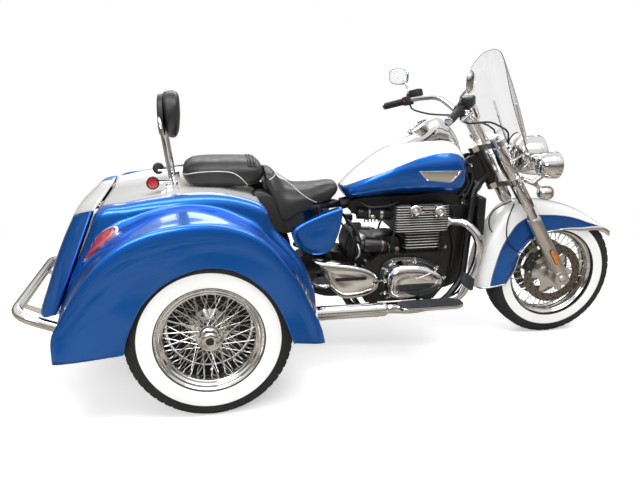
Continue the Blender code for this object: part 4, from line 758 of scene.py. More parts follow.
def rear_wheel():
    centre = (0, -REAR_HALF_TRACK, AXLE_HEIGHT)
    shape = Shape()
    profile = milli(
        2, 206.5, 85, 208.5, 87, 208.8, 92.5, 207.2, 94.8, 204.5, 95, 202, 92.5, 200, 88, 196, 86, 192.5, 85.5,
        189.5, 83.5, 187, 78, 183, 76, 179, 75, 176, 72, 173.5, 62, 172, 50, 171.2, 20, 171.2, -30, 175, -60,
        186, -78, 196, -86, 204.5, -94.5, 208.5, -93, 208.5, -87, 199, -80, 189, -74, 184, -40, 183, 40, 187,
        70, 199, 78, 206.5, 85
    )
    shape.turned(profile, centre, OUT, chrome, 128)
    hub = milli(
        2, 0, 103.5, 15, 103.5, 16.5, 104.5, 18, 105, 29, 103, 33, 99, 34.5, 93, 35, 80, 40, 78, 44, 75, 51.5,
        74, 52, 69, 50, 65, 34, 60, 31, 40, 32, 5, 42, -15, 70, -26, 80, -30, 81.5, -36, 79, -42, 52, -50, 52,
        -75, 0, -75
    )
    shape.turned(hub, centre, OUT, chrome, 48)
    shape.turned(milli(2, 0, 104.8, 13, 104.8, 15, 104), centre, OUT, plastic, 32)
    shape.turned(milli(2, 36.5, 78, 42, 80, 42.5, 90, 40, 96, 34, 97.5), centre, OUT, chrome, 8, phase=pi / 8)
    bolts, spokes = 8, 40
    for i in range(bolts):
        shape.bolt(around(centre, 0.063, 2 * pi * (i + 0.5) / bolts, 0.024), OUT, 0.007, chrome, 0.01)
    wire_spokes(shape, centre, spokes, 0.0475, 0.07, 0.1715, 0.048, 0.52, -1)
    wire_spokes(shape, centre, spokes, 0.076, -0.036, 0.1712, 0.01, 0.24, -1)
    drum = milli(2, 0, -40, 95, -40, 160, -44, 165, -48, 166, -56, 166, -72, 162, -74, 0, -74)
    shape.turned(drum, centre, OUT, black, 64)
    for radius in (0.104, 0.116):
        rib = [(radius, -0.04), (radius, -0.0385), (radius + 0.004, -0.0385), (radius + 0.005, -0.043)]
        shape.turned(rib, centre, OUT, steel, 64)
    for side, body in ((shape, "rear_wheel_right"), (shape.twin(), "rear_wheel_left")):
        side.make(body.replace("rear_wheel", "wire_wheel_rear"), body, "chrome", body, 40)


def front_wheel():
    centre = FRONT_AXLE
    shape = Shape()
    half = milli(
        2, 219, 40, 220.8, 42, 221.2, 46.2, 219.8, 47.8, 217.2, 47, 214, 42, 209, 40, 205, 37, 201, 30, 197.5,
        20, 196, 8
    )
    inner = half + [(r, -a) for r, a in reversed(half)]
    outer = milli(2, 209, -34, 206, 0, 209, 34, 219, 40)
    shape.turned(inner + outer, centre, (0, 1, 0), chrome, 128)
    hub = milli(
        2, 10.6, -55, 42, -54.5, 42.5, -50, 40, -46.5, 25, -43, 25, 43, 40, 46.5, 42.5, 50, 42, 54.5, 10.6, 55
    )
    shape.turned(hub, centre, (0, 1, 0), satin, 48)
    for out in (-1, 1):
        wire_spokes(shape, centre, 30, 0.039, 0.048, 0.1965, 0.006, 0.5, out)
    shape.make("wire_wheel_front", "front_wheel", "chrome", "front_wheel", 40)


def brake_discs():
    centre = Vector(FRONT_AXLE)
    for side, name in ((-1, "brake_disc_right"), (1, "brake_disc_left")):
        shape = Shape()
        axis = (0, side, 0)
        face, thick, steps = 0.0553, 0.005, 144
        inner, outer = 0.1085, 0.15
        turns = [2 * pi * t / steps for t in range(steps)]
        for flat in (face, face + thick):
            rows = [
                [(centre.x + radius * cos(turn), side * flat, centre.z + radius * sin(turn)) for turn in turns]
                for radius in np.linspace(inner, outer, 13)
            ]

            def pick(i, j):
                """The drilled holes are dark patches in three staggered rings: painted shade standing in for
                holes that are not cut.
                """
                row = {2: 0, 3: 0, 6: 3, 7: 3, 9: 6, 10: 6}.get(i)
                return plastic if row is not None and (j - row) % 9 < 2 else steel

            shape.grid(rows, steel, ring=True, pick=pick)
        for radius in (outer, inner):
            shape.turned([(radius, face), (radius, face + thick)], centre, axis, steel, steps)
        arms, steps = 6, 180
        carrier = [0.072 + 0.038 * (0.5 + 0.5 * cos(2 * pi * t / steps * arms)) ** 2 for t in range(steps)]
        rows = []
        for share, depth in ((0, face + 0.0012), (0, face + 0.004), (1, face + 0.0046), (1, face + 0.0008)):
            line = []
            for t, reach in enumerate(carrier):
                radius = between(0.0215, reach, share)
                angle = 2 * pi * t / steps
                line.append((centre.x + radius * cos(angle), side * depth, centre.z + radius * sin(angle)))
            rows.append(line)
        shape.grid(rows, spoke, ring=True)
        for i in range(arms):
            angle = 2 * pi * i / arms
            button = milli(2, 0, 5.5, 5, 5.5, 6, 4, 6, 0)
            shape.turned(button, around(centre, 0.106, angle, side * face), axis, chrome, 16)
            place = around(centre, 0.036, angle + pi / arms, side * (face + 0.004))
            shape.bolt(place, axis, 0.005, chrome, 0.002)
        shape.make("drilled_" + name, "front_wheel", "brake_steel", name, 30)


def wheels():
    rear_grooves = (0.66, 0.22)
    for side, name in ((-1, "right"), (1, "left")):
        tyre(
            "treaded_rear_tyre_" + name, "rear_tyre_" + name, "rear_wheel_" + name,
            (0, side * REAR_HALF_TRACK, AXLE_HEIGHT), 0.2085, 0.205, 0.082, rear_grooves, 58
        )
    tyre("treaded_front_tyre", "front_tyre", "front_wheel", FRONT_AXLE, 0.221, 0.13, 0.048, (0.3,), 44)
    rear_wheel()
    front_wheel()
    brake_discs()


wheels()

# Rear fenders, trunk and its lid

fender_shares = (
    (184, 1.07, 1.23, 1.2, 1.1), (174, 1.03, 1.22, 1.19, 1.094), (165, 1.0, 1.16, 1.17, 1.063),
    (155, 0.985, 1.12, 1.15, 1.06), (146, 0.985, 1.1, 1.14, 1.068), (138, 0.98, 1.09, 1.12, 1.105),
    (129, 0.98, 1.08, 1.09, 1.17), (120, 0.98, 1.06, 1.06, 1.09), (110, 0.985, 1.035, 1.05, 1.035),
    (97, 1.0, 1.01, 1.03, 1.002), (84, 1.01, 1.0, 0.99, 0.995), (72, 1.01, 0.985, 0.94, 0.996),
    (63, 1.0, 0.965, 0.915, 0.985), (55, 0.99, 0.935, 0.88, 0.885), (40, 0.985, 0.89, 0.87, 0.853),
    (27, 0.985, 0.868, 0.875, 0.848), (14, 1.0, 0.885, 0.895, 0.848), (4, 1.03, 0.925, 0.92, 0.84),
    (-4, 1.08, 0.957, 0.93, 0.835)
)


def fender_row(shares):
    """One section of the right fender, from its inner edge over the shoulder to the wheel arch."""
    degrees, arch, ridge, crease, edge = shares
    arch, ridge, crease, edge = 0.297 * arch, 0.456 * ridge, 0.47 * crease, 0.525 * edge
    side, inner, fold, wall, step, bead = 0.612, 0.3606, 0.41, 0.005, 0.018, 0.008
    return [
        polar(0, edge, degrees, -inner),
        polar(0, edge - wall * 0.6, degrees, -between(inner, fold, 0.6)),
        polar(0, max(crease, edge - step), degrees, -fold),
        polar(0, crease, degrees, -fold - wall),
        polar(0, between(crease, ridge, 0.5) + wall / 2, degrees, -between(fold, side, 0.5)),
        polar(0, ridge - wall, degrees, -side + 3 * bead),
        polar(0, ridge + bead / 2, degrees, -side + 2 * bead),
        polar(0, ridge - bead, degrees, -side + bead / 2),
        polar(0, between(arch, ridge, 0.62), degrees, -side),
        polar(0, arch, degrees, -side + bead),
    ]


def fender_surface(per=6):
    rows = np.array([[list(p) for p in fender_row(shares)] for shares in fender_shares])
    return softened(through(rows, per), 3)


def rear_fenders():
    rows = fender_surface()
    shape = Shape().grid(rows, blue)
    arch = rows[:, -1]
    shape.sweep(arch + np.array([0, 0.004, 0]), 0.0035, blue, 8)
    shape.pair("painted_fender", "chassis", "blue_paint", "rear_fender", 50, 0.004, 0.0, black, outward=False)


def tail_lights():
    """A teardrop lens on the fender's shoulder, on a chrome bezel."""
    tree = grid_tree(fender_surface(4))
    centre = polar(0, 0.545, 137, -0.462)
    lengthwise = Matrix.Rotation(-radians(47), 4, "Y") @ Vector(AHEAD)
    outward = Vector((-0.28, -0.8, 0.53)).normalized()
    across = outward.cross(lengthwise).normalized()
    lengthwise = across.cross(outward).normalized()

    def seat(u, v, lift):
        start = centre + lengthwise * u + across * v + outward * 0.12
        hit = tree.ray_cast(start, -outward)[0] or centre + lengthwise * u + across * v
        return hit + outward * lift

    def outline(size, lift):
        made = []
        for t in range(48):
            angle = 2 * pi * t / 48
            u = cos(angle)
            narrow = 0.5 + 0.5 * (1 - max(0.0, -u)) ** 0.8 if u < 0 else 1.0
            v = sin(angle) * narrow
            made.append(seat(u * 0.083 * size + 0.004, v * 0.029 * size, lift))
        return made

    shape = Shape()
    shape.grid(
        [
            outline(1.12, -0.004), outline(1.12, 0.003), outline(1.06, 0.0075), outline(0.98, 0.008),
            outline(0.96, 0.006)
        ],
        chrome, ring=True
    )
    rings = [outline(0.965, 0.004)] + [
        outline(0.96 * cos(a), 0.005 + 0.017 * sin(a))
        for a in np.linspace(0.1, pi / 2 - 0.02, 9)
    ]
    shape.grid(rings, red_lens, ring=True, capped=True)
    shape.pair("teardrop_light", "chassis", "red_lens", "taillight", 60)


def split_x(height):
    """Where the lid meets the trunk at this height."""
    return between(LID_LOW_X, LID_HIGH_X, (height - LID_LOW) / (LID_HIGH - LID_LOW))


dish_shares = milli(2, -1000, 0, -985, 160, -950, 380, -900, 620, -800, 880, -700, 1000, -350, 1110, 0, 1150)


def across_rows(half, table):
    """Rows from the right edge to the left, given from the right edge to the middle."""
    rows = [(half * y, *rest) for y, *rest in table]
    return rows + [(-y, *rest) for y, *rest in reversed(rows[:-1])]


def hinges(shape, start):
    """A barrel on each side of the lid's hinge line, from start outwards."""
    barrel = milli(2, 0, 0, 5.2, 0, 5.5, 2, 5.5, 47.5, 5.2, 49.5, 0, 49.5)
    for side in (-1, 1):
        shape.turned(barrel, (-0.409, side * start, 0.77775), (0, side, 0), chrome, 16)


def trunk():
    crown = milli(2, 0, 0, 160, 460, 340, 820, 530, 1000, 720, 980, 890, 500, 1000, 0)
    top = through(spread(crown, (LID_HIGH_X, LID_HIGH), (0.225, 0.836)), 6)
    floor = 0.4305
    rows = []
    for y, dish in across_rows(0.36, dish_shares):
        low = 0.018 * dish
        line = [(x, y, z - low) for x, z in top]
        front = [(0.225, y, LID_HIGH - low), (0.262, y, 0.7), (0.3, y, 0.56), (0.33, y, 0.432)]
        line += [tuple(p) for p in through(front, 4)[1:]]
        line += [(x, y, floor) for x in (0.1, -0.2, split_x(floor) + 0.001)]
        rows.append(line)
    shape = Shape().grid(rows, white)
    for line in (rows[0], rows[-1]):
        shape.close(line, white)
    hinges(shape, 0.2005)
    shape.make("painted_trunk", "chassis", "white_paint", "trunk_body", 50, 0.004, -1.0, carpet)


def trunk_lid():
    rear = milli(2, 880, 0, 1000, 260, 1060, 620, 940, 900, 800, 975)
    table = milli(
        3, -1000, 0, 820, -990, 100, 880, -960, 300, 950, -920, 480, 970, -885, 600, 980, -875, 640, 985, -800,
        860, 995, -700, 1000, 1000, -350, 1110, 1000, 0, 1150, 1000
    )
    rows = []
    half_width, gap = 0.384, 0.006
    for y, dish, squeeze in across_rows(half_width, table):
        top, low = LID_HIGH - 0.018 * dish, LID_LOW
        bulge = 0.02 * (1 - (y / half_width) ** 2)
        line = [(split_x(low) - gap, y, low)]
        for depth, height in spread(rear, (0, low), (0.068, top)):
            line.append((split_x(height) - gap - depth * squeeze - bulge, y, height))
        line.append((split_x(top) - gap, y, top))
        rows.append([tuple(p) for p in through(line, 5)])
    blue_from = 0.34

    def pick(i, j):
        y = abs((rows[i][0][1] + rows[i + 1][0][1]) / 2)
        return blue if y > blue_from else pinstripe if y > blue_from - 0.004 else white

    shape = Shape().grid(rows, white, pick=pick)
    for line in (rows[0], rows[-1]):
        shape.close(line, blue)
    hinges(shape, 0.15)
    shape.make("painted_trunk_lid", "tailgate", "white_paint", "trunk_lid", 50, 0.004, -1.0, carpet)


rear_fenders()
tail_lights()
trunk()
trunk_lid()

# Tank and console

tank_shares = milli(
    4, 0, 300, 120, 220, 50, 520, 0, 330, 150, 680, 0, 520, 270, 820, 20, 710, 380, 910, 40, 850, 500, 970, 50,
    940, 660, 1000, 50, 1000, 800, 1000, 30, 1020, 900, 930, 10, 970, 960, 800, 60, 840, 1000, 500, 250, 620
)
tank_edge = milli(
    2, 600, 784, 620, 788.5, 685, 822, 783, 863, 873, 900, 963, 931, 1054, 945, 1115, 939, 1150, 921, 1175, 895,
    1192, 860
)


def fuel_tank():
    table = through(tank_shares, 6)
    edge = through(tank_edge, 8)
    rows = []
    power = 2.4
    stripe = 0.0022
    low_steps, top_steps = 14, 14
    for along, wide, low, top in table:
        x = between(TANK_REAR, TANK_FRONT, along)
        half_width = 0.172 * wide
        bottom, crest = between(TANK_LOW, TANK_HIGH, low), between(TANK_LOW, TANK_HIGH, top)
        middle, half = (bottom + crest) / 2, (crest - bottom) / 2
        line_height = float(np.interp(x, edge[:, 0], edge[:, 1]))
        share = min(0.93, max(-0.9, (line_height - middle) / half))

        def angle_at(s):
            return (1 if s > 0 else -1) * np.arcsin(abs(s) ** (power / 2))

        meet = angle_at(share)
        over = angle_at(min(0.96, share + stripe / half))
        right = list(np.linspace(-pi / 2, meet, low_steps)) + list(np.linspace(over, pi / 2, top_steps))
        ring = []
        for angle in right:
            y = -half_width * abs(cos(angle)) ** (2 / power)
            z = middle + half * (1 if sin(angle) > 0 else -1) * abs(sin(angle)) ** (2 / power)
            ring.append((x, y, z))
        ring += [(px, -py, pz) for px, py, pz in reversed(ring[1:-1])]
        rows.append(ring)
    total = len(rows[0])
    right_count = low_steps + top_steps

    def pick(i, j):
        j = j if j < right_count - 1 else total - 1 - j
        return blue if j < low_steps - 1 else pinstripe if j == low_steps - 1 else white

    shape = Shape().grid(rows, white, ring=True, pick=pick)
    shape.close(rows[0], blue)
    shape.close(rows[-1], blue)
    for side in (-1, 1):
        tilt = Vector((0.1, side * 0.7, 1)).normalized()
        cap = milli(2, 0, 7.5, 12, 7.8, 24, 6, 30, 3, 32.5, 0.5, 34.5, -1.5, 35, -6)
        shape.turned(cap, (1.076, side * 0.101, 0.9605), tilt, chrome, 40)
    shape.make("painted_tank", "chassis", "blue_paint", "fuel_tank", 50)
    badges = Shape()
    tree = grid_tree(rows, ring=True)

    def on_tank(x, z, lift):
        hit = tree.ray_cast(Vector((x, -0.4, z)), Vector((0, 1, 0)))[0]
        return hit + Vector((0, -lift, 0)) if hit else Vector((x, -0.17, z))

    corners = milli(2, 934, 873, 1144, 870, 1138, 860, 1098, 818, 1088, 815, 982, 828, 970, 834, 940, 866)
    middle = (1.045, 0.848)

    def frame_ring(size, lift):
        ring = []
        for (x1, z1), (x2, z2) in zip(corners, corners[1:] + corners[:1]):
            for step in range(6):
                x, z = between(x1, x2, step / 6), between(z1, z2, step / 6)
                ring.append(on_tank(between(middle[0], x, size), between(middle[1], z, size), lift))
        return ring

    badges.grid(
        [
            frame_ring(1.0, -0.001), frame_ring(1.0, 0.0025), frame_ring(0.95, 0.0045), frame_ring(0.86, 0.004),
            frame_ring(0.84, 0.0022)
        ],
        chrome, ring=True
    )
    badges.grid(
        [frame_ring(0.85, 0.002), frame_ring(0.5, 0.003), frame_ring(0.2, 0.0032), frame_ring(0.02, 0.0032)],
        satin, ring=True, capped=True
    )
    badges.both().make("bare_tank_badges", "chassis", "chrome", (), 40)


def console():
    shares = milli(
        3, 0, 150, -550, 150, 450, -100, 350, 800, 420, 580, 1000, 1100, 680, 1000, 1150, 800, 950, 850, 920,
        750, 250, 1000, 400, -500
    )
    table = through(shares, 8)
    rows = []
    for along, wide, rise in table:
        x = between(0.822, 1.19, along)
        rows.append(superellipse(x, 0.062 * wide, TANK_HIGH - 0.17, TANK_HIGH + 0.085 * rise, 2.2, 40))
    shape = Shape().grid(rows, chrome, ring=True, capped=True)
    axis = Vector((-0.7, 0, 1)).normalized()
    centre = Vector((0.9865, 0, 1.0385))
    bezel = milli(2, 45.5, 4, 46.5, 12, 49, 16.5, 51.5, 15, 52.5, 10, 52, -20)
    shape.turned(bezel, centre, axis, chrome, 64)
    shape.turned([(0, 0.006), (0.0455, 0.006)], centre, axis, dial_face, 64)
    _, side, up = framed(axis)
    for i in range(25):
        angle = radians(-40 + i * 11)
        way = side * cos(angle) + up * sin(angle)
        inner = 0.034 if i % 2 == 0 else 0.038
        shape.sweep(
            [centre + axis * 0.0068 + way * inner, centre + axis * 0.0068 + way * 0.043], 0.0006, plastic, 4
        )
    way = side * cos(radians(-32)) + up * sin(radians(-32))
    shape.sweep(
        [centre + axis * 0.0085 - way * 0.008, centre + axis * 0.0085 + way * 0.036], [0.0014, 0.0005],
        red_lens, 6
    )
    shape.turned(milli(2, 0, 11, 4, 10, 5, 7), centre, axis, plastic, 16)
    shape.turned(milli(2, 0, 14, 30, 13.2, 46.5, 11.5), centre, axis, lamp_glass, 48)
    shape.make("chrome_console", "chassis", "chrome", "tank_console", 45)


fuel_tank()
console()

# Seats and backrest pad


def stuffed(piece, cap):
    """Blows the pad up as cloth, moving no point further than cap, then smooths it."""
    voxel, pressure, frames = 0.006, 4.0, 20
    rest_remesh = piece.modifiers.new("Remesh", "REMESH")
    rest_remesh.mode = "VOXEL"
    rest_remesh.voxel_size = voxel
    graph = bpy.context.evaluated_depsgraph_get()
    looks = list(piece.data.materials)
    mesh = bpy.data.meshes.new_from_object(piece.evaluated_get(graph))
    piece.modifiers.clear()
    piece.data = mesh
    mesh.materials.clear()
    for look in looks:
        mesh.materials.append(look)
    rest = np.array([v.co for v in mesh.vertices])
    cloth = piece.modifiers.new("Cloth", "CLOTH")
    cloth.settings.use_pressure = True
    cloth.settings.uniform_pressure_force = pressure
    cloth.settings.effector_weights.gravity = 0
    cloth.settings.quality = 4
    cloth.point_cache.frame_start = 1
    cloth.point_cache.frame_end = frames
    scene = bpy.context.scene
    for step in range(1, frames + 1):
        scene.frame_set(step)
    graph = bpy.context.evaluated_depsgraph_get()
    swollen = np.array([v.co for v in piece.evaluated_get(graph).data.vertices])
    piece.modifiers.clear()
    scene.frame_set(1)
    move = swollen - rest
    length = np.linalg.norm(move, axis=1, keepdims=True)
    move *= np.minimum(1, cap / np.maximum(length, 1e-9))
    for vert, place in zip(mesh.vertices, rest + move):
        vert.co = place
    for _ in range(2):
        smooth = bmesh.new()
        smooth.from_mesh(mesh)
        bmesh.ops.smooth_vert(
            smooth, verts=smooth.verts, factor=0.5, use_axis_x=True, use_axis_y=True, use_axis_z=True
        )
        smooth.to_mesh(mesh)
        smooth.free()
    fine = piece.modifiers.new("Fine", "SUBSURF")
    fine.levels = fine.render_levels = 1
    mesh.shade_smooth()
    return piece


def tree_of(piece):
    verts = [v.co.copy() for v in piece.data.vertices]
    return BVHTree.FromPolygons(verts, [tuple(p.vertices) for p in piece.data.polygons])


def side_seam(tree, points, lift):
    """A line on a pad's right side, given as (x, z), found by looking along Y."""
    made = []
    for x, z in through(points, 8):
        hit, normal, _, _ = tree.ray_cast(Vector((x + shift, -0.6, z)), Vector((0, 1, 0)))
        if hit:
            made.append(hit - Vector((shift, 0, 0)) + normal * lift)
    return made


def trim(piece, height, half_width):
    """Flattens the part of the seat between the rails to what it rests on."""
    for vert in piece.data.vertices:
        if vert.co.z < height and abs(vert.co.y) < half_width:
            vert.co.z = height


def pad_rows(table, rear, front, half_width, bottom, crest):
    """Ovals from the rows (along, wide, low, top), each a share of the pad's own size."""
    return [
        superellipse(
            between(rear, front, along), half_width * wide, between(bottom, crest, low),
            between(bottom, crest, top)
        )
        for along, wide, low, top in through(table, 6)
    ]


def cushion(rows, name, stands_for, cap):
    piece = Shape().grid(rows, leather, ring=True, capped=True).make(
        name, "chassis", "black_leather", stands_for, 60
    )
    return stuffed(piece, cap)


def stitched(seams, line, thick, look, sides):
    """A seam, left out where too few of its points met the pad."""
    if len(line) > 2:
        seams.sweep(line, thick, look, sides)


def rider_seat():
    rider = milli(
        4, 0, 720, 620, 960, 100, 920, 300, 900, 220, 1000, 0, 700, 380, 980, 120, 630, 550, 860, 200, 620, 720,
        660, 250, 640, 870, 500, 380, 680, 960, 400, 480, 680, 1000, 250, 550, 620
    )
    rows = pad_rows(rider, 0.268, 0.598, 0.168, 0.625, 0.9)
    piece = cushion(rows, "leather_rider_seat", "rider_seat", 0.005)
    trim(piece, 0.733, 0.1263)
    tree = tree_of(piece)
    seams = Shape()
    edge = side_seam(
        tree, milli(2, 280, 845, 315, 858, 350, 845, 400, 795, 450, 758, 500, 728, 525, 700), 0.0002
    )
    stitched(seams, edge, 0.0018, piping, 8)
    contour = side_seam(tree, milli(2, 480, 782, 450, 788, 448, 795, 480, 800, 560, 800), -0.0004)
    stitched(seams, contour, 0.0011, plastic, 6)
    seams.both().make("rider_seat_piping", "chassis", "black_leather", (), 60)


def passenger_seat():
    pillion = milli(
        4, 0, 420, 420, 700, 30, 620, 240, 860, 100, 820, 70, 950, 250, 960, 0, 1000, 500, 1000, 0, 1000, 750,
        990, 0, 980, 900, 920, 30, 930, 970, 800, 120, 840, 1000, 620, 260, 720
    )
    rows = pad_rows(pillion, -0.086, 0.259, 0.146, 0.812, 0.929)
    piece = cushion(rows, "leather_passenger_seat", "passenger_seat", 0.004)
    tree = tree_of(piece)
    seams = Shape()
    edge = side_seam(
        tree, milli(2, -85, 868, -20, 884, 60, 888, 120, 882, 155, 862, 178, 836, 190, 822), 0.0002
    )
    stitched(seams, edge, 0.0018, piping, 8)
    for x, thick in milli(2, 196, 5.2, 209, 6, 222, 5.2):
        band = []
        for t in np.linspace(-1.25, 1.25, 45):
            inward = Vector((0, -sin(t), -cos(t)))
            hit, normal, _, _ = tree.ray_cast(Vector((x + shift, sin(t) * 0.5, 0.86 + cos(t) * 0.5)), inward)
            if hit:
                band.append(hit - Vector((shift, 0, 0)) - normal * 0.0004)
        stitched(seams, band, thick, leather, 10)
    seams.both().make("passenger_seat_piping", "chassis", "black_leather", (), 60)


def backrest_pad():
    pad_rear, pad_front, lean = -0.1547, -0.087, 0.016
    tube_middle, tube_radius, skin = -0.165, 0.008, 0.003
    rear = tube_middle + tube_radius + CLEARANCE + 0.002
    rows = []
    for along, size in through(
        milli(2, 0, 800, 60, 900, 200, 985, 500, 1000, 800, 985, 940, 900, 1000, 780), 5
    ):
        half = 0.102 * size - skin
        row = []
        for x, y, z in superellipse(rear + 0.07 * along, 0.125 * size - skin, 1.114 - half, 1.114 + half, 2.3):
            rise = (z - 1.012) / 0.204
            x = pad_rear + (x - pad_rear) * between(0.6, 1.14, rise) + lean * (1 - rise)
            row.append((min(x, pad_front), y * between(0.7, 1.0, rise), z))
        rows.append(row)
    piece = cushion(rows, "leather_backrest", "backrest_pad", 0.003)


rider_seat()
passenger_seat()
backrest_pad()

# Backrest hoop and rear bumper


def backrest():
    shape = Shape()
    hoop = milli(3, -128, -130, 836, -150.2, -130, 1018, -165, -116, 1112, -165, 0, 1118)
    side = bent(hoop, 0.045, 8)
    path = side + [Vector((x, -y, z)) for x, y, z in reversed(side[:-1])]
    shape.sweep(path, 0.008, chrome, 16)
    right = Shape()
    right.slab((-0.153, -0.137, 0.8), (-0.103, -0.123, 0.85), chrome, 0.003)
    right.bolt((-0.14, -0.137, 0.842), OUT, 0.006, chrome)
    right.bolt((-0.115, -0.137, 0.842), OUT, 0.006, chrome)
    right.slab((-0.2, -0.184, 0.849), (-0.128, -0.132, 0.857), chrome, 0.002)
    right.turned(milli(2, 0, 4, 20, 3, 23.5, -1, 24.5, -4), (-0.2, -0.1925, 0.855), OUT, red_lens, 32)
    right.turned(
        milli(2, 23.5, 0, 25.5, 1, 26, -4, 25.5, -20, 18, -24, 0, -24), (-0.2, -0.1945, 0.855), OUT, plastic, 32
    )
    right.both()
    shape.join(right)
    shell = [
        superellipse(x, 0.104 * size, 1.114 - 0.086 * size, 1.114 + 0.086 * size, 2.3)
        for x, size in ((-0.173, 0.84), (-0.1715, 0.94), (-0.167, 1), (-0.15, 1))
    ]
    shape.grid(shell, plastic, ring=True, capped=True)
    shape.make("chrome_backrest_hoop", "chassis", "chrome", "backrest_bar", 40)


def bumper():
    shape = Shape()
    path = bent(milli(3, -590, -370, 330, -740, -370, 392, -740, 0, 392), 0.09, 10)
    whole = path + [Vector((x, -y, z)) for x, y, z in reversed(path[:-1])]
    shape.sweep(whole, 0.0209, chrome, 24)
    for side in (-1, 1):
        y = side * 0.2205
        outline = milli(2, -740, 381, -740, 362, -678, 330, -542.5, 319, -542.5, 351, -678, 357)
        shape.prism(outline, y - 0.004, y + 0.004, chrome, "Y", 0.001)
        shape.bolt((-0.565, side * 0.2245, 0.335), (0, side, 0), 0.009, chrome)
        shape.bolt((-0.61, side * 0.2245, 0.338), (0, side, 0), 0.009, chrome)
    shape.make("chrome_bumper", "chassis", "chrome", "rear_bumper", 40)


backrest()
bumper()

# Engine


def rounded_outline(points):
    """A closed outline with its corners cut."""
    row = np.array([[(u, v, 0.0) for u, v in points]])
    return [(p[0], p[1]) for p in softened(row, closed=True)[0]]


def box_outline(x0, x1, y0, y1, r):
    """A rectangle with round corners."""
    made = []
    for cx, cy, start in (
        (x1 - r, y1 - r, 0), (x0 + r, y1 - r, 90), (x0 + r, y0 + r, 180), (x1 - r, y0 + r, 270)
    ):
        for k in range(5):
            a = radians(start + k * 22.5)
            made.append((cx + r * cos(a), cy + r * sin(a)))
    return made


def cylinders():
    shape = Shape()
    shape.prism(box_outline(0.905, 1.06, -0.125, 0.125, 0.02), 0.4905, 0.585, black, "Z")
    shape.prism(box_outline(0.862, 1.088, -0.132, 0.132, 0.02), 0.58, 0.712, black, "Z", 0.004)
    lower_fins, upper_fins, half_fin = 6, 11, 0.0016
    for i in range(lower_fins):
        z = between(0.51, 0.578, i / (lower_fins - 1))
        outline = box_outline(0.895, 1.07, -0.136, 0.136, 0.022)
        shape.prism(outline, z - half_fin, z + half_fin, black, "Z", 0.0006, finish_edge)
    half_fin = 0.0017
    for i in range(upper_fins):
        z = between(0.592, 0.706, i / (upper_fins - 1))
        grow = 0.004 * (1 - abs(i - 6) / 6)
        outline = box_outline(0.846 - grow, 1.104 + grow, -0.148 - grow, 0.148 + grow, 0.024)
        shape.prism(outline, z - half_fin, z + half_fin, black, "Z", 0.0006, finish_edge)
    right = Shape()
    for x, z in ((0.935, 0.688), (1.052, 0.68)):
        cap = milli(2, 0, 15, 13, 15, 16, 18, 18.5, 22.5, 24, 23.5, 27.5, 20, 28, 12, 28, -20)
        right.turned(cap, (x, -0.14, z), OUT, chrome, 48)
        right.bolt((x, -0.155, z), OUT, 0.008, chrome, 0.004)
    right.slab((0.968, -0.16, 0.693), (1.026, -0.138, 0.7105), chrome, 0.003)
    brow = through(milli(3, 938, -146, 664, 995, -152, 684, 1058, -146, 650), 6)
    right.sweep(brow, 0.0025, finish_edge, 8)
    intake = ((0.864, -0.055, 0.655), (-1, 0, 0.06))
    right.turned(
        milli(
            2, 0, 0, 28, 0, 28.5, 50, 28.5, 60, 32, 61, 32, 72, 28.5, 73, 27, 120, 31, 121, 31, 130, 27, 131,
            27, 175, 0, 175
        ),
        *intake, black, 32
    )
    right.turned(milli(2, 29, 59, 33, 60, 33, 73, 29, 74), *intake, chrome, 32)
    right.turned(milli(2, 27.5, 120, 32, 121, 32, 131, 27.5, 132), *intake, chrome, 32)
    right.both()
    shape.join(right)
    shape.make("finned_cylinders", "chassis", "black_enamel", "cylinders", 30)


def domed_rings(outline, start, depth, shares):
    """Rings of a domed cover from the rows (depth, size), each a share."""
    middle = middle_of(outline)
    return [[(u, -start - depth * d, v) for u, v in sized(outline, middle, size)] for d, size in shares]


clutch_shares = milli(
    2, 0, 620, 0, 200, 40, 60, 200, 0, 500, 30, 830, 120, 1000, 380, 970, 620, 680, 930, 220, 1000, 40, 850
)
lower_shares = milli(
    2, 0, 1000, 120, 860, 180, 500, 380, 80, 520, 0, 820, 60, 1000, 260, 970, 550, 750, 800, 140, 950
)
panel_shares = ((0, 0.55), (0.28, 0.03), (0.74, 0), (0.92, 0.45), (1, 1), (0.9, 1), (0.4, 0.8))


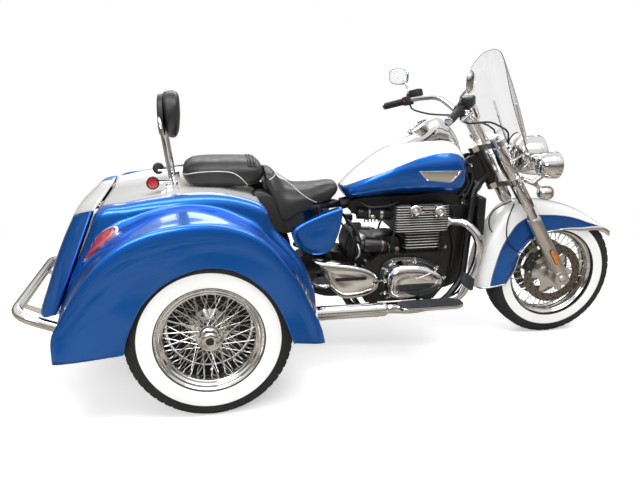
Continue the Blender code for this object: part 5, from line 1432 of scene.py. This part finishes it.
def covers():
    outline = rounded_outline(spread(clutch_shares, (0.79, 0.284), (1.082, 0.47)))
    shape = Shape()
    profile = milli(
        2, 0, 1000, 120, 1012, 200, 1000, 260, 950, 500, 930, 720, 890, 870, 820, 950, 720, 985, 550, 1000, 300,
        1000, 50
    )
    shape.grid(domed_rings(outline, 0.1503, 0.082, profile), chrome, ring=True, capped=True)
    for u, v in sized(outline, middle_of(outline), 0.985)[::4]:
        shape.turned(milli(2, 0, 12, 3, 12, 3.5, 9, 6, 12, 6.8, 10, 7.2, -10), (u, -0.168, v), OUT, chrome, 16)
    crease = milli(3, 865, -227.5, 430, 905, -231.8, 405, 925, -232.8, 395, 965, -232.2, 405, 1020, -227.5, 425)
    shape.sweep(through(crease, 5), 0.0022, chrome, 8)
    dish = milli(2, 862, 352, 905, 340, 965, 338, 1020, 350, 1046, 366, 1030, 334, 985, 312, 925, 310, 880, 325)
    shape.prism(rounded_outline(dish), -0.2318, -0.225, mat_rubber, "Y", 0.0008)
    shape.pair("chrome_clutch_cover", "chassis", "chrome", "engine_cover", 50)
    outline = rounded_outline(spread(lower_shares, (0.455, 0.296), (0.772, 0.492)))
    shape = Shape()
    profile = milli(2, 0, 1000, 500, 1000, 720, 985, 860, 950, 950, 880, 985, 700, 1000, 400, 1000, 50)
    shape.grid(domed_rings(outline, 0.1503, 0.053, profile), chrome, ring=True, capped=True)
    shape.slab((0.56, -0.205, 0.392), (0.702, -0.202, 0.408), black, 0.0012)
    shape.pair("chrome_lower_cover", "chassis", "chrome", "lower_cover", 50)
    outline = rounded_outline(spread(panel_shares, (0.354, 0.5), (0.606, 0.715)))
    shape = Shape()
    profile = milli(2, 0, 1000, 550, 1000, 780, 985, 900, 955, 970, 880, 1000, 700, 1000, 50)
    shape.grid(domed_rings(outline, 0.1263, 0.0385, profile), blue, ring=True, capped=True)
    shape.pair("painted_side_panel", "chassis", "blue_paint", "side_panel", 50)


def exhausts():
    shape = Shape()
    path = milli(
        3, 1112, -75, 615, 1135, -75, 615, 1195, -112, 615, 1258, -150, 545, 1258, -150, 440, 1179, -150, 257,
        1068, -150, 236, 940, -209, 236, 806, -268, 272, 764, -268, 272
    )
    shape.sweep(bent(path, 0.075, 8), 0.021, chrome, 24)
    shape.turned(milli(2, 21, 0, 28, 0, 29, 3, 29, 10, 22.5, 12), (1.1123, -0.075, 0.615), AHEAD, chrome, 32)
    can = milli(
        2, 0, 0, 22, 0, 23.5, 4, 29, 12, 30.5, 22, 31, 40, 31, 318, 30.5, 326, 29, 330, 25.5, 329, 24, 324,
        23.5, 300, 0, 298
    )
    mouth = ((0.785, -0.268, 0.272), (-1, 0, 0))
    shape.turned(can, *mouth, chrome, 48, pick=lambda i, j: black if i >= 10 else chrome)
    for a in (0.045, 0.29):
        shape.turned(
            [(0.031, a), (0.0325, a + 0.001), (0.0325, a + 0.012), (0.031, a + 0.013)], *mouth, chrome, 48
        )
    shape.pair("chrome_exhaust", "chassis", "chrome", "exhaust", 40)


def engine_bay():
    """The dark pieces packed round the engine: starter, intake, hoses, looms, gearbox end and front mount."""
    shape = Shape()
    wing = milli(2, 640, 470, 625, 520, 660, 600, 700, 560, 770, 545, 850, 560, 905, 545, 905, 268, 640, 268)
    shape.prism(rounded_outline(wing), -0.078, 0.078, black, "Y", 0.006)
    rear = milli(2, 385, 420, 430, 490, 660, 500, 660, 268, 520, 268, 430, 330)
    shape.prism(rounded_outline(rear), -0.066, 0.066, black, "Y", 0.006)
    front = milli(
        2, 1060, 640, 1150, 690, 1225, 690, 1256, 620, 1252, 420, 1215, 300, 1110, 262, 1040, 300, 1050, 420
    )
    shape.prism(rounded_outline(front), -0.052, 0.052, black, "Y", 0.006)
    top = milli(2, 640, 700, 665, 735, 900, 742, 1150, 752, 1195, 735, 1190, 640, 1110, 640, 880, 660, 690, 640)
    shape.prism(rounded_outline(top), -0.048, 0.048, black, "Y", 0.006)
    right = Shape()
    starter = ((0.815, -0.102, 0.515), (-1, 0, 0.1))
    right.turned(
        milli(2, 0, 0, 34, 0, 37, 4, 38, 12, 38, 100, 34, 106, 26, 108, 24, 120, 0, 121), *starter, black, 40
    )
    right.turned(milli(2, 38.5, 20, 40, 21, 40, 28, 38.5, 29), *starter, steel, 40)
    right.turned(
        milli(2, 0, 20, 10, 20, 12, 18, 20, 16, 24, 10, 25, 0), (0.7, -0.088, 0.56), OUT, finish_edge, 32
    )
    right.turned(milli(2, 0, 26, 5, 26, 6, 20, 10, 19), (0.7, -0.088, 0.56), OUT, chrome, 20)
    right.slab((0.676, -0.1, 0.486), (0.712, -0.08, 0.532), plastic, 0.004)
    right.sweep(
        through(milli(3, 684, -98, 530, 690, -112, 505, 688, -112, 480, 676, -104, 458), 6), 0.0055,
        finish_edge, 10
    )
    right.slab((0.664, -0.102, 0.596), (0.7, -0.07, 0.628), plastic, 0.006)
    right.turned(milli(2, 0, 12, 6, 12, 9, 10, 11, 0), (0.755, -0.0835, 0.654), OUT, chrome, 24)
    hoses = (
        milli(3, 640, -70, 640, 668, -96, 610, 690, -104, 560, 720, -110, 500, 745, -105, 470),
        milli(3, 860, -90, 630, 855, -112, 590, 842, -116, 545, 846, -112, 500, 862, -110, 475),
        milli(3, 700, -60, 720, 740, -94, 700, 830, -100, 706, 870, -92, 720),
        milli(3, 640, -74, 590, 655, -104, 575, 665, -108, 540, 660, -102, 500),
        milli(3, 1075, -118, 560, 1098, -112, 520, 1090, -104, 480, 1098, -104, 440),
        milli(3, 1120, -56, 700, 1150, -74, 660, 1150, -70, 560, 1165, -62, 480, 1160, -60, 380),
    )
    for path, thick in zip(hoses, (0.0075, 0.005, 0.006, 0.0045, 0.006, 0.005)):
        right.sweep(through(path, 6), thick, plastic, 10)
    ring = rounded_outline(spread(clutch_shares, (0.79, 0.284), (1.082, 0.47)))
    middle = (0.9381, 0.3732)
    for grow, low, high in ((1.1, -0.162, -0.14), (1.05, -0.168, -0.14)):
        right.prism(sized(ring, middle, grow), low, high, black, "Y", 0.003)
    for u, v in sized(ring, middle, 1.075)[::4]:
        right.turned(milli(2, 0, 8, 3.5, 8, 4.5, 6, 6, 5.5, 6.5, 0), (u, -0.162, v), OUT, chrome, 14)
    for x, z, size in milli(3, 870, 500, 10, 1105, 500, 8, 1110, 420, 7, 760, 470, 7, 720, 452, 6):
        knob = scaled([(0, 0.8), (0.6, 0.8), (0.75, 0.5), (1, 0.45)], size, size) + [(size, -0.02)]
        right.turned(knob, (x, -0.104, z), OUT, finish_edge, 20)
    for k in range(5):
        x = 0.716 + 0.016 * k
        right.slab((x, -0.0875, 0.628), (x + 0.005, -0.08, 0.682), plastic, 0.001, None, 1)
    right.turned(milli(2, 0, 10, 8, 10, 12, 6, 14, 0), (0.876, -0.092, 0.472), OUT, chrome, 24)
    right.bolt((0.876, -0.102, 0.472), OUT, 0.006, chrome)
    right.both()
    shape.join(right)
    hose = through(milli(3, 812, -100, 545, 826, -114, 528, 832, -116, 500, 822, -112, 474), 6)
    shape.sweep(hose, 0.0052, lamp_glass, 12)
    shape.sweep(hose[7:9], 0.006, green_band, 12)
    shape.make("engine_bay_details", "chassis", "black_enamel", (), 40)


def headstock():
    """Black plates, loom and bolts round the steering head, over the frame tubes."""
    shape = Shape()
    plate = milli(2, 1165, 800, 1200, 905, 1262, 925, 1290, 880, 1318, 820, 1290, 740, 1235, 730, 1190, 745)
    right = Shape()
    right.prism(rounded_outline(plate), -0.041, -0.028, black, "Y", 0.003)
    for x, z in ((1.262, 0.79), (1.232, 0.87)):
        right.bolt((x, -0.041, z), OUT, 0.009, chrome)
    right.sweep(
        through(milli(3, 1180, -40, 900, 1215, -52, 880, 1240, -56, 820, 1225, -60, 760, 1190, -56, 700), 6),
        0.007, plastic, 12
    )
    right.sweep(
        through(milli(3, 1170, -50, 850, 1205, -60, 830, 1215, -66, 780, 1175, -62, 730), 6), 0.0055, plastic,
        12
    )
    right.slab((1.195, -0.062, 0.838), (1.235, -0.04, 0.868), plastic, 0.004)
    right.both()
    shape.join(right)
    shape.make("headstock_details", "chassis", "black_enamel", (), 40)


def seat_base():
    """The skirt that closes the side below the rider's seat."""
    side = milli(2, 196, 800, 262, 800, 350, 730, 420, 722, 440, 660, 405, 612, 340, 598, 285, 640, 222, 728)
    outline = rounded_outline(side)
    profile = milli(2, 0, 1000, 550, 1000, 800, 970, 930, 900, 1000, 740, 1000, 50)
    shape = Shape().grid(domed_rings(outline, 0.098, 0.044, profile), leather, ring=True, capped=True)
    shape.both()
    shape.make("seat_skirt", "chassis", "black_leather", (), 50)


cylinders()
covers()
exhausts()
engine_bay()
headstock()
seat_base()

# Footboards and pedals


def footboards():
    shape = Shape()
    outline = []
    for cx, start in ((1.062, -90), (0.845, 90)):
        for k in range(13):
            a = radians(start + k * 15)
            outline.append((cx + 0.048 * cos(a) * (1.0 if cx > 1 else 0.72), -0.335 + 0.048 * sin(a)))
    shape.prism(outline, 0.2975, 0.313, chrome, "Z", 0.003)
    inner = [(between(0.953, u, 0.965), between(-0.335, v, 0.93)) for u, v in outline]
    shape.prism(inner, 0.3128, 0.3165, mat_rubber, "Z", 0.001)
    for i in range(9):
        y = between(-0.371, -0.299, i / 8)
        reach = 0.1 if abs(i - 4) < 3 else 0.088
        shape.slab(
            (0.953 - reach, y - 0.0022, 0.316), (0.953 + reach, y + 0.0022, 0.3188), mat_rubber, 0.0008, None, 1
        )
    shape.sweep(bent(milli(3, 960, -94, 270, 960, -300, 270, 960, -335, 300), 0.02), 0.008, black, 12)
    shape.sweep(milli(3, 1092, -303, 313, 1112, -303, 345, 1135, -303, 400), 0.0075, chrome, 12)
    turn = Matrix.Rotation(radians(38), 4, "Y") @ Matrix.Rotation(radians(42), 4, "X")
    shape.slab((1.103, -0.35, 0.392), (1.167, -0.287, 0.408), mat_rubber, 0.003, turn)
    for i in range(5):
        v = between(-0.024, 0.024, i / 4)
        middle = Vector((1.135, -0.3185, 0.4)) + turn @ Vector((0, v, 0.0085))
        shape.slab(
            middle - Vector((0.028, 0.003, 0.0015)), middle + Vector((0.028, 0.003, 0.0015)), plastic, 0.0008,
            turn, 1
        )
    shape.pair("ribbed_footboard", "chassis", "footboard_rubber", "footboard", 35)


def passenger_boards():
    """Dark oval rests with chrome edges on short arms behind the engine."""
    right = Shape()
    oval = [(0.48 + 0.04 * cos(a), -0.3 + 0.052 * sin(a)) for a in np.linspace(0, 2 * pi, 40, endpoint=False)]
    right.prism(oval, 0.418, 0.432, chrome, "Z", 0.003)
    right.prism(sized(oval, (0.48, -0.3), 0.88), 0.4315, 0.4365, mat_rubber, "Z", 0.001)
    for i in range(5):
        y = between(-0.328, -0.272, i / 4)
        right.slab((0.455, y - 0.002, 0.436), (0.505, y + 0.002, 0.4385), plastic, 0.0006, None, 1)
    right.sweep(bent(milli(3, 480, -285, 420, 480, -262, 396, 500, -130, 396), 0.02), 0.009, black, 14)
    right.both()
    right.make("passenger_boards", "chassis", "footboard_rubber", (), 40)


footboards()
passenger_boards()

# Front end


def fork():
    axis = Vector((-sin(RAKE), 0, cos(RAKE)))
    foot_height = AXLE_HEIGHT - LEG_OFFSET * sin(RAKE)
    foot = raked(foot_height, LEG_OFFSET, LEG_Y)

    def at(height):
        return (height - foot_height) / cos(RAKE)

    room = YOKE_HALF * cos(RAKE) + CLEARANCE
    shape = Shape()
    profile = [
        (0, at(0.256)), (0.022, at(0.256)), (0.03, at(0.262)), (0.033, at(0.275)), (0.033, at(0.56)),
        (0.033, at(0.575)), (0.0318, at(0.584)),
        (0.029, at(0.59)), (0.025, at(0.591)), (0.0235, at(0.592)), (0.0235, at(0.64)), (0.03, at(0.641)),
        (0.031, at(0.648)),
        (0.031, at(LOWER_YOKE - room) - 0.002), (0.03, at(LOWER_YOKE - room)), (0.0235, at(LOWER_YOKE - room)),
        (0.0235, at(LOWER_YOKE + room)),
        (0.03, at(LOWER_YOKE + room)), (0.031, at(LOWER_YOKE + room) + 0.002),
        (0.031, at(UPPER_YOKE - room) - 0.002), (0.03, at(UPPER_YOKE - room)),
        (0.0235, at(UPPER_YOKE - room)), (0.0235, at(0.968)), (0.0225, at(0.976)), (0.018, at(0.979)),
        (0, at(0.979)),
    ]

    def pick(i, j):
        return satin if i < 9 else chrome

    shape.turned(profile, foot, axis, satin, 48, pick=pick)
    shape.turned(
        milli(2, 0, -36, 26, -36, 33, -33, 36, -26, 36, 26, 33, 33, 26, 36, 0, 36),
        (FRONT_AXLE[0], LEG_Y, AXLE_HEIGHT), OUT, satin, 40
    )
    shape.turned(
        milli(2, 0, 4, 10, 4, 12, 2, 16.5, 3.5, 18, 0), (FRONT_AXLE[0], -0.15, AXLE_HEIGHT), OUT, chrome, 24
    )
    middle = raked(0.402, LEG_OFFSET, LEG_Y) + Vector((0, -0.0335, 0))
    turn = Matrix.Rotation(-RAKE, 4, "Y")
    outline = []
    for way, start in ((1, 0), (-1, 180)):
        for k in range(9):
            a = radians(start + k * 22.5)
            outline.append((0.01 * cos(a), way * 0.03 + 0.01 * sin(a)))
    for size, low, high, look in ((1.22, 0.0, 0.0045, plastic), (1.0, 0.004, 0.0072, amber_lens)):
        lens_shape = Shape()
        lens_shape.prism(
            [(u * size, v * (0.6 + 0.4 * size) if size > 1 else v) for u, v in outline], -high, -low, look, "Y",
            0.0012
        )
        shape.join(lens_shape, Matrix.Translation(middle) @ turn)
    shape.pair("fork_leg_detail", "steering", "satin_aluminium", "fork_leg", 40)


def front_brake():
    """The caliper behind the right leg, its line, and the hose that loops down from the yoke."""
    shape = Shape()
    turn = Matrix.Rotation(radians(-62), 4, "Y")
    spot = Vector((1.567, -0.078, 0.392))
    caliper = Shape()
    body = rounded_outline(milli(2, -52, -20, -44, 22, -12, 26, 12, 26, 44, 22, 52, -20, 30, -24, -30, -24))
    caliper.prism(body, -0.016, 0.012, plastic, "Y", 0.004)
    for u in (-0.026, 0.026):
        caliper.turned(milli(2, 0, 6, 10, 6, 12, 4, 16, 4, 18, 0), (u, -0.016, 0), OUT, plastic, 28)
        caliper.bolt((u * 1.75, -0.016, -0.01), OUT, 0.006, chrome)
    shape.join(caliper, Matrix.Translation(spot) @ turn)
    shape.slab(
        spot + Vector((-0.004, -0.02, 0.0)), spot + Vector((0.052, -0.006, 0.02)), satin, 0.004,
        Matrix.Rotation(radians(20), 4, "Y")
    )
    line = through(
        milli(
            3, 1449, -82, 689, 1425, -100, 650, 1411, -108, 612, 1407, -112, 560, 1420, -112, 510, 1470, -108,
            462, 1530, -100, 432
        ),
        8
    )
    shape.sweep(line, 0.0032, plastic, 10)
    hose = through(
        milli(
            3, 1440, -75, 700, 1390, -78, 682, 1350, -74, 655, 1334, -70, 610, 1345, -66, 565, 1372, -58, 535
        ),
        8
    )
    shape.sweep(hose, 0.0032, plastic, 10)
    shape.bolt((1.53, -0.1005, 0.432), OUT, 0.007, brass)
    shape.make("front_brake_caliper", "steering", "black_enamel", (), 40)


def front_fender():
    table = (
        (188, 0.84, 1.0, 0.82), (177, 0.88, 1.02, 0.73), (166, 0.9, 1.02, 0.7), (152, 0.9, 1.035, 0.72),
        (140, 0.88, 1.06, 0.72), (129, 0.83, 1.09, 0.72), (115, 0.79, 1.03, 0.72), (101, 0.79, 0.93, 0.71),
        (84, 0.79, 0.865, 0.72), (62, 0.77, 0.83, 0.79), (44, 0.72, 0.85, 0.975), (31, 0.45, 0.895, 1.085)
    )
    half_row = milli(
        2, -1000, 0, -1000, 200, -1000, 400, -995, 560, -990, 585, -975, 700, -950, 800, -880, 880, -760, 930,
        -600, 965, -400, 986, -200, 997, 0, 1000
    )
    row_shape = list(half_row) + [(-a, u) for a, u in reversed(half_row[:-1])]
    rows = []
    for degrees, wide, crest, low in through(table, 7):
        half, crest, low = 0.1 * wide, 0.4 * crest, 0.32 * low
        rows.append([polar(FRONT_AXLE[0], between(low, crest, up), degrees, half * a) for a, up in row_shape])
    last = len(row_shape) - 2

    def pick(i, j):
        j = min(j, last - j)
        return blue if j < 3 else pinstripe if j == 3 else white

    shape = Shape().grid(rows, white, pick=pick)
    shape.make("painted_front_fender", "steering", "white_paint", "front_fender", 50, 0.003, 0.0, black)
    trim_shape = Shape()
    for column in (0, -1):
        line = [row[column] for row in rows]
        trim_shape.sweep(line, 0.0042, chrome, 10)
        pad_y = 0.076 if column else -0.076
        stay = raked(0.505, LEG_OFFSET, 0)
        trim_shape.slab(
            (stay.x - 0.012, min(pad_y, pad_y * 1.065), stay.z - 0.012),
            (stay.x + 0.012, max(pad_y, pad_y * 1.065), stay.z + 0.012), satin, 0.003
        )
    trim_shape.sweep(rows[0], 0.0045, chrome, 10)
    for column in (0, -1):
        beak = [row[column] for row in rows[-24:-1]]
        lift = [(x, y, z + between(0.001, 0.009, k / 22)) for k, (x, y, z) in enumerate(beak)]
        trim_shape.sweep(
            lift, [between(0.004, 0.012, sin(pi * min(1, k / 16) / 2)) for k in range(23)], chrome, 16
        )
    trim_shape.make("front_fender_trim", "steering", "chrome", (), 50)


def lamp_shape(shape, centre, radius, depth):
    body = milli(
        2, 0, -500, 220, -496, 420, -480, 600, -440, 740, -370, 850, -270, 920, -150, 965, 0, 985, 120, 985,
        190, 1000, 200, 1000, 330, 985, 360, 955, 375, 930, 370
    )
    shape.turned(scaled(body, radius, depth), centre, AHEAD, chrome, 56)
    reflector = milli(2, 930, 360, 850, 150, 650, -80, 400, -200, 150, -250, 0, -250)
    shape.turned(scaled(reflector, radius, depth), centre, AHEAD, mirror_glass, 48)
    glass = milli(2, 935, 365, 900, 400, 750, 445, 500, 478, 250, 492, 0, 497)
    shape.turned(scaled(glass, radius, depth), centre, AHEAD, lamp_glass, 48)


def lamps():
    shape = Shape()
    lamp_shape(shape, (1.54, 0, 0.905), 0.095, 0.15)
    room = (YOKE_HALF + CLEARANCE) * cos(RAKE)
    foot = raked(LOWER_YOKE + room, LAMP_OFFSET)
    top = raked(LOWER_YOKE + room + 0.032, LAMP_OFFSET)
    shape.sweep([foot, top], 0.016, chrome, 24)
    shape.sweep([top, (1.5025, 0, 0.867)], 0.0128, chrome, 20)
    shape.make("chrome_headlight", "steering", "chrome", "headlight", 40)

    def bar_at(y):
        drop = (YOKE_HALF + CLEARANCE + 0.011) * cos(RAKE)
        return raked(LOWER_YOKE - drop, 0.104, y)

    shape = Shape()
    shape.sweep([bar_at(-0.215), bar_at(0.215)], 0.011, chrome, 20)
    right = Shape()
    lamp_shape(right, (1.545, -0.185, 0.885), 0.062, 0.11)
    right.sweep([bar_at(-0.185), (1.545, -0.185, 0.854)], 0.011, chrome, 20)
    body = milli(2, 0, -500, 500, -480, 800, -380, 950, -200, 1000, 0, 1000, 150, 970, 220)
    bulb = ((0.93, 0.22), (0.6, 0.3), (0, 0.3))
    glass = milli(2, 970, 220, 950, 330, 700, 460, 350, 495, 0, 500)
    turn_lamp = (1.525, -0.215, 0.765)
    for profile, look in ((body, chrome), (bulb, amber_lens), (glass, lamp_glass)):
        right.turned(scaled(profile, 0.032, 0.07), turn_lamp, AHEAD, look, 32)
    right.sweep([bar_at(-0.204), turn_lamp], 0.01, chrome, 16)
    right.both()
    shape.join(right)
    shape.sweep(
        [raked(LOWER_YOKE - room, LAMP_OFFSET), raked(LOWER_YOKE - room - 0.022, LAMP_OFFSET)], 0.016, chrome,
        20
    )
    shape.make("chrome_light_bar", "steering", "chrome", "light_bar", 40)


screen_shares = milli(
    2, 0, 550, 120, 720, 300, 930, 520, 1000, 680, 950, 800, 830, 880, 690, 940, 510, 980, 310, 1000, 30
)
screen_line = through(screen_shares, 8)


def screen_point(across, up):
    """A point of the screen, across it from -1 to 1 and up it from 0 to 1."""
    y = SCREEN_HALF * float(np.interp(up, screen_line[:, 0], screen_line[:, 1])) * across
    x = between(1.528, 1.325, up) + 0.017 * 4 * up * (1 - up) - 0.11 * (y / SCREEN_HALF) ** 2
    return (x, y, between(SCREEN_LOW, SCREEN_TOP, up))


def screen_foot(across):
    """How far up the screen starts at this share of its width, cut round the headlight."""
    lamp_height, lamp_reach, near, blend = 0.905, 0.107, 0.1065, 0.0155
    up = 0.0
    for _ in range(12):
        y = abs(screen_point(across, up)[1])
        height = SCREEN_LOW
        if y < near:
            height = lamp_height + sqrt(lamp_reach**2 - y**2)
        elif y < near + blend:
            height = between(0.917, SCREEN_LOW, (y - near) / blend)
        up = between(up, (height - SCREEN_LOW) / (SCREEN_TOP - SCREEN_LOW), 0.6)
    return up


def windshield():
    ways = [sin(pi / 2 * t) for t in np.linspace(-1, 1, 97)]
    feet = [screen_foot(a) for a in ways]
    rows = []
    for t in np.linspace(0, 1, 73):
        share = 1 - (1 - t) ** 1.8
        rows.append([screen_point(a, between(foot, 1, share)) for a, foot in zip(ways, feet)])
    shape = Shape().grid(rows, acrylic)
    shape.make("clear_windshield", "steering", "clear_screen", "windshield", 60, 0.003, 0.0, weld=0)
    line = [row[0] for row in rows] + [row[-1] for row in reversed(rows)] + rows[0][-2::-1]
    edge = Shape().sweep(line, 0.0011, plastic, 6)
    edge.make("windshield_edge", "steering", "clear_screen", (), 60)


def handlebar():
    shape = Shape()
    clamp = raked(1.07, BAR_OFFSET, 0)
    half = [
        BAR_END, BAR_BEND, Vector((1.15, -0.2, 1.172)), Vector((clamp.x, -0.1, clamp.z)),
        Vector((clamp.x, 0, clamp.z)),
    ]
    side = bent(half, 0.045, 8)
    path = side + [Vector((x, -y, z)) for x, y, z in reversed(side[:-1])]
    shape.sweep(path, 0.0127, chrome, 20)
    room = (YOKE_HALF + CLEARANCE) * cos(RAKE)
    up = Vector((-sin(RAKE), 0, cos(RAKE)))
    for y in (-0.05, 0.05):
        low = raked(UPPER_YOKE + room, BAR_OFFSET, y)
        top = Vector((clamp.x, y, clamp.z)) + up * 0.0127
        length = (top - low).length
        shape.turned(
            [
                (0, 0), (0.019, 0), (0.019, 0.01), (0.0155, 0.018), (0.0155, length - 0.03),
                (0.018, length - 0.024), (0.018, length + 0.004), (0.015, length + 0.008), (0, length + 0.008)
            ],
            low, up, chrome, 32
        )
        shape.bolt(top + up * 0.008, up, 0.006, chrome)
    shape.make("chrome_handlebar", "steering", "chrome", "handlebar", 40)


def controls():
    end, inner = BAR_END, BAR_BEND
    along = (end - inner).normalized()
    length = (end - inner).length
    start = 0.024
    shape = Shape()
    grip = [(0.0135, start + 0.046), (0.019, start + 0.047), (0.019, start + 0.051), (0.0165, start + 0.053)]
    count = 22
    for i in range(count):
        a = between(start + 0.055, length - 0.006, i / count)
        grip += [(0.016, a), (0.0172, a + 0.001), (0.0172, a + 0.0035), (0.016, a + 0.0045)]
    grip += [(0.0172, length - 0.004), (0.0172, length)]
    shape.turned(grip, inner, along, plastic, 32)
    shape.turned(
        [
            (0.0172, length), (0.0165, length + 0.002), (0.0165, length + 0.007), (0.013, length + 0.0086),
            (0, length + 0.0086)
        ],
        inner, along, chrome, 32
    )
    forward = along.cross(Vector((0, 0, 1))).normalized()
    forward = -forward if forward.x < 0 else forward
    upward = forward.cross(along)
    upward = -upward if upward.z < 0 else upward
    turn = Matrix((forward, along, upward)).transposed().to_4x4()

    def block(a0, a1, f0, f1, u0, u1, look, soft=0.003):
        shape.join(Shape().slab((f0, a0, u0), (f1, a1, u1), look, soft), Matrix.Translation(inner) @ turn)

    block(start, start + 0.045, -0.02, 0.021, -0.023, 0.021, plastic, 0.006)
    block(start + 0.008, start + 0.02, -0.024, -0.018, -0.01, 0.006, plastic, 0.002)
    block(start + 0.026, start + 0.038, -0.024, -0.018, -0.006, 0.008, red_lens, 0.002)
    block(start - 0.022, start + 0.006, 0.002, 0.034, -0.012, 0.014, plastic, 0.004)
    block(start - 0.044, start + 0.012, -0.002, 0.048, 0.008, 0.044, plastic, 0.005)
    block(start - 0.04, start + 0.008, 0.002, 0.044, 0.0435, 0.0465, black, 0.001)
    hinge = inner + along * (start + 0.0225) + forward * 0.0132
    lever = bent(
        [
            hinge, hinge + forward * 0.044, inner + along * length * 0.55 + forward * 0.052,
            inner + along * length * 0.9 + forward * 0.048
        ],
        0.04, 8
    )
    shape.sweep(lever, [0.006] * (len(lever) - 2) + [0.0055, 0.0065], chrome, 12, flat=0.7)
    shape.pair("grip_and_switches", "steering", "black_enamel", "controls", 35)


mirror_rows = milli(2, 0, 930, 60, 975, 200, 1000, 450, 970, 700, 900, 900, 720, 1000, 450)


def mirrors():
    end, inner = BAR_END, BAR_BEND
    along = (end - inner).normalized()
    foot = inner + along * 0.0465 + Vector((0, 0, 0.024))
    centre = Vector((1.028, -0.458, 1.262))
    shape = Shape()
    shape.sweep(
        bent([foot, foot + Vector((0, 0, 0.03)), centre + Vector((0.011, 0, 0))], 0.04, 8), 0.0048, chrome, 14
    )
    shape.turned(milli(2, 9.5, -4, 9.5, 6, 6, 10), foot, (0, 0, 1), plastic, 20)
    head = Shape()
    rows = [
        superellipse(-0.011 + 0.022 * x, 0.064 * size, -0.043 * size, 0.043 * size, 3.0, 48)
        for x, size in mirror_rows
    ]
    head.grid(rows, chrome, ring=True, capped=True)
    # The face inside the rim is the painted reflection: a flat light grey in place of a mirror
    head.points.extend(superellipse(-0.0113, 0.057, -0.037, 0.037, 3.0, 48))
    head.face(range(len(head.points) - 48, len(head.points)), mirror_painted_reflection)
    shape.join(head, Matrix.Translation(centre) @ Matrix.Rotation(radians(-32), 4, "Z"))
    shape.pair("chrome_mirror", "steering", "chrome", "mirror", 40)


fork()
front_brake()
front_fender()
lamps()
windshield()
handlebar()
controls()
mirrors()

# Looks for the solids that stay

kept_looks = {
    "frame": black, "crankcase": black, "rear_subframe": black, "rear_axle": black, "oil_cooler": black,
    "fork_yokes": satin, "front_axle": satin, "screen_mount_right": chrome, "screen_mount_left": chrome,
    "backrest_bar": chrome, "control_cable_right": plastic, "control_cable_left": plastic,
}
for name, piece in nodes.items():
    if piece.hide_render:
        continue
    look = kept_looks.get(name, black)
    piece.data.materials.clear()
    piece.data.materials.append(look)
    if name in ("crankcase", "oil_cooler", "fork_yokes"):
        soft = piece.modifiers.new("Edges", "BEVEL")
        soft.width = 0.003
        soft.segments = 2
        soft.limit_method = "ANGLE"

view = bpy.context.scene.view_settings
view.view_transform = "Standard"
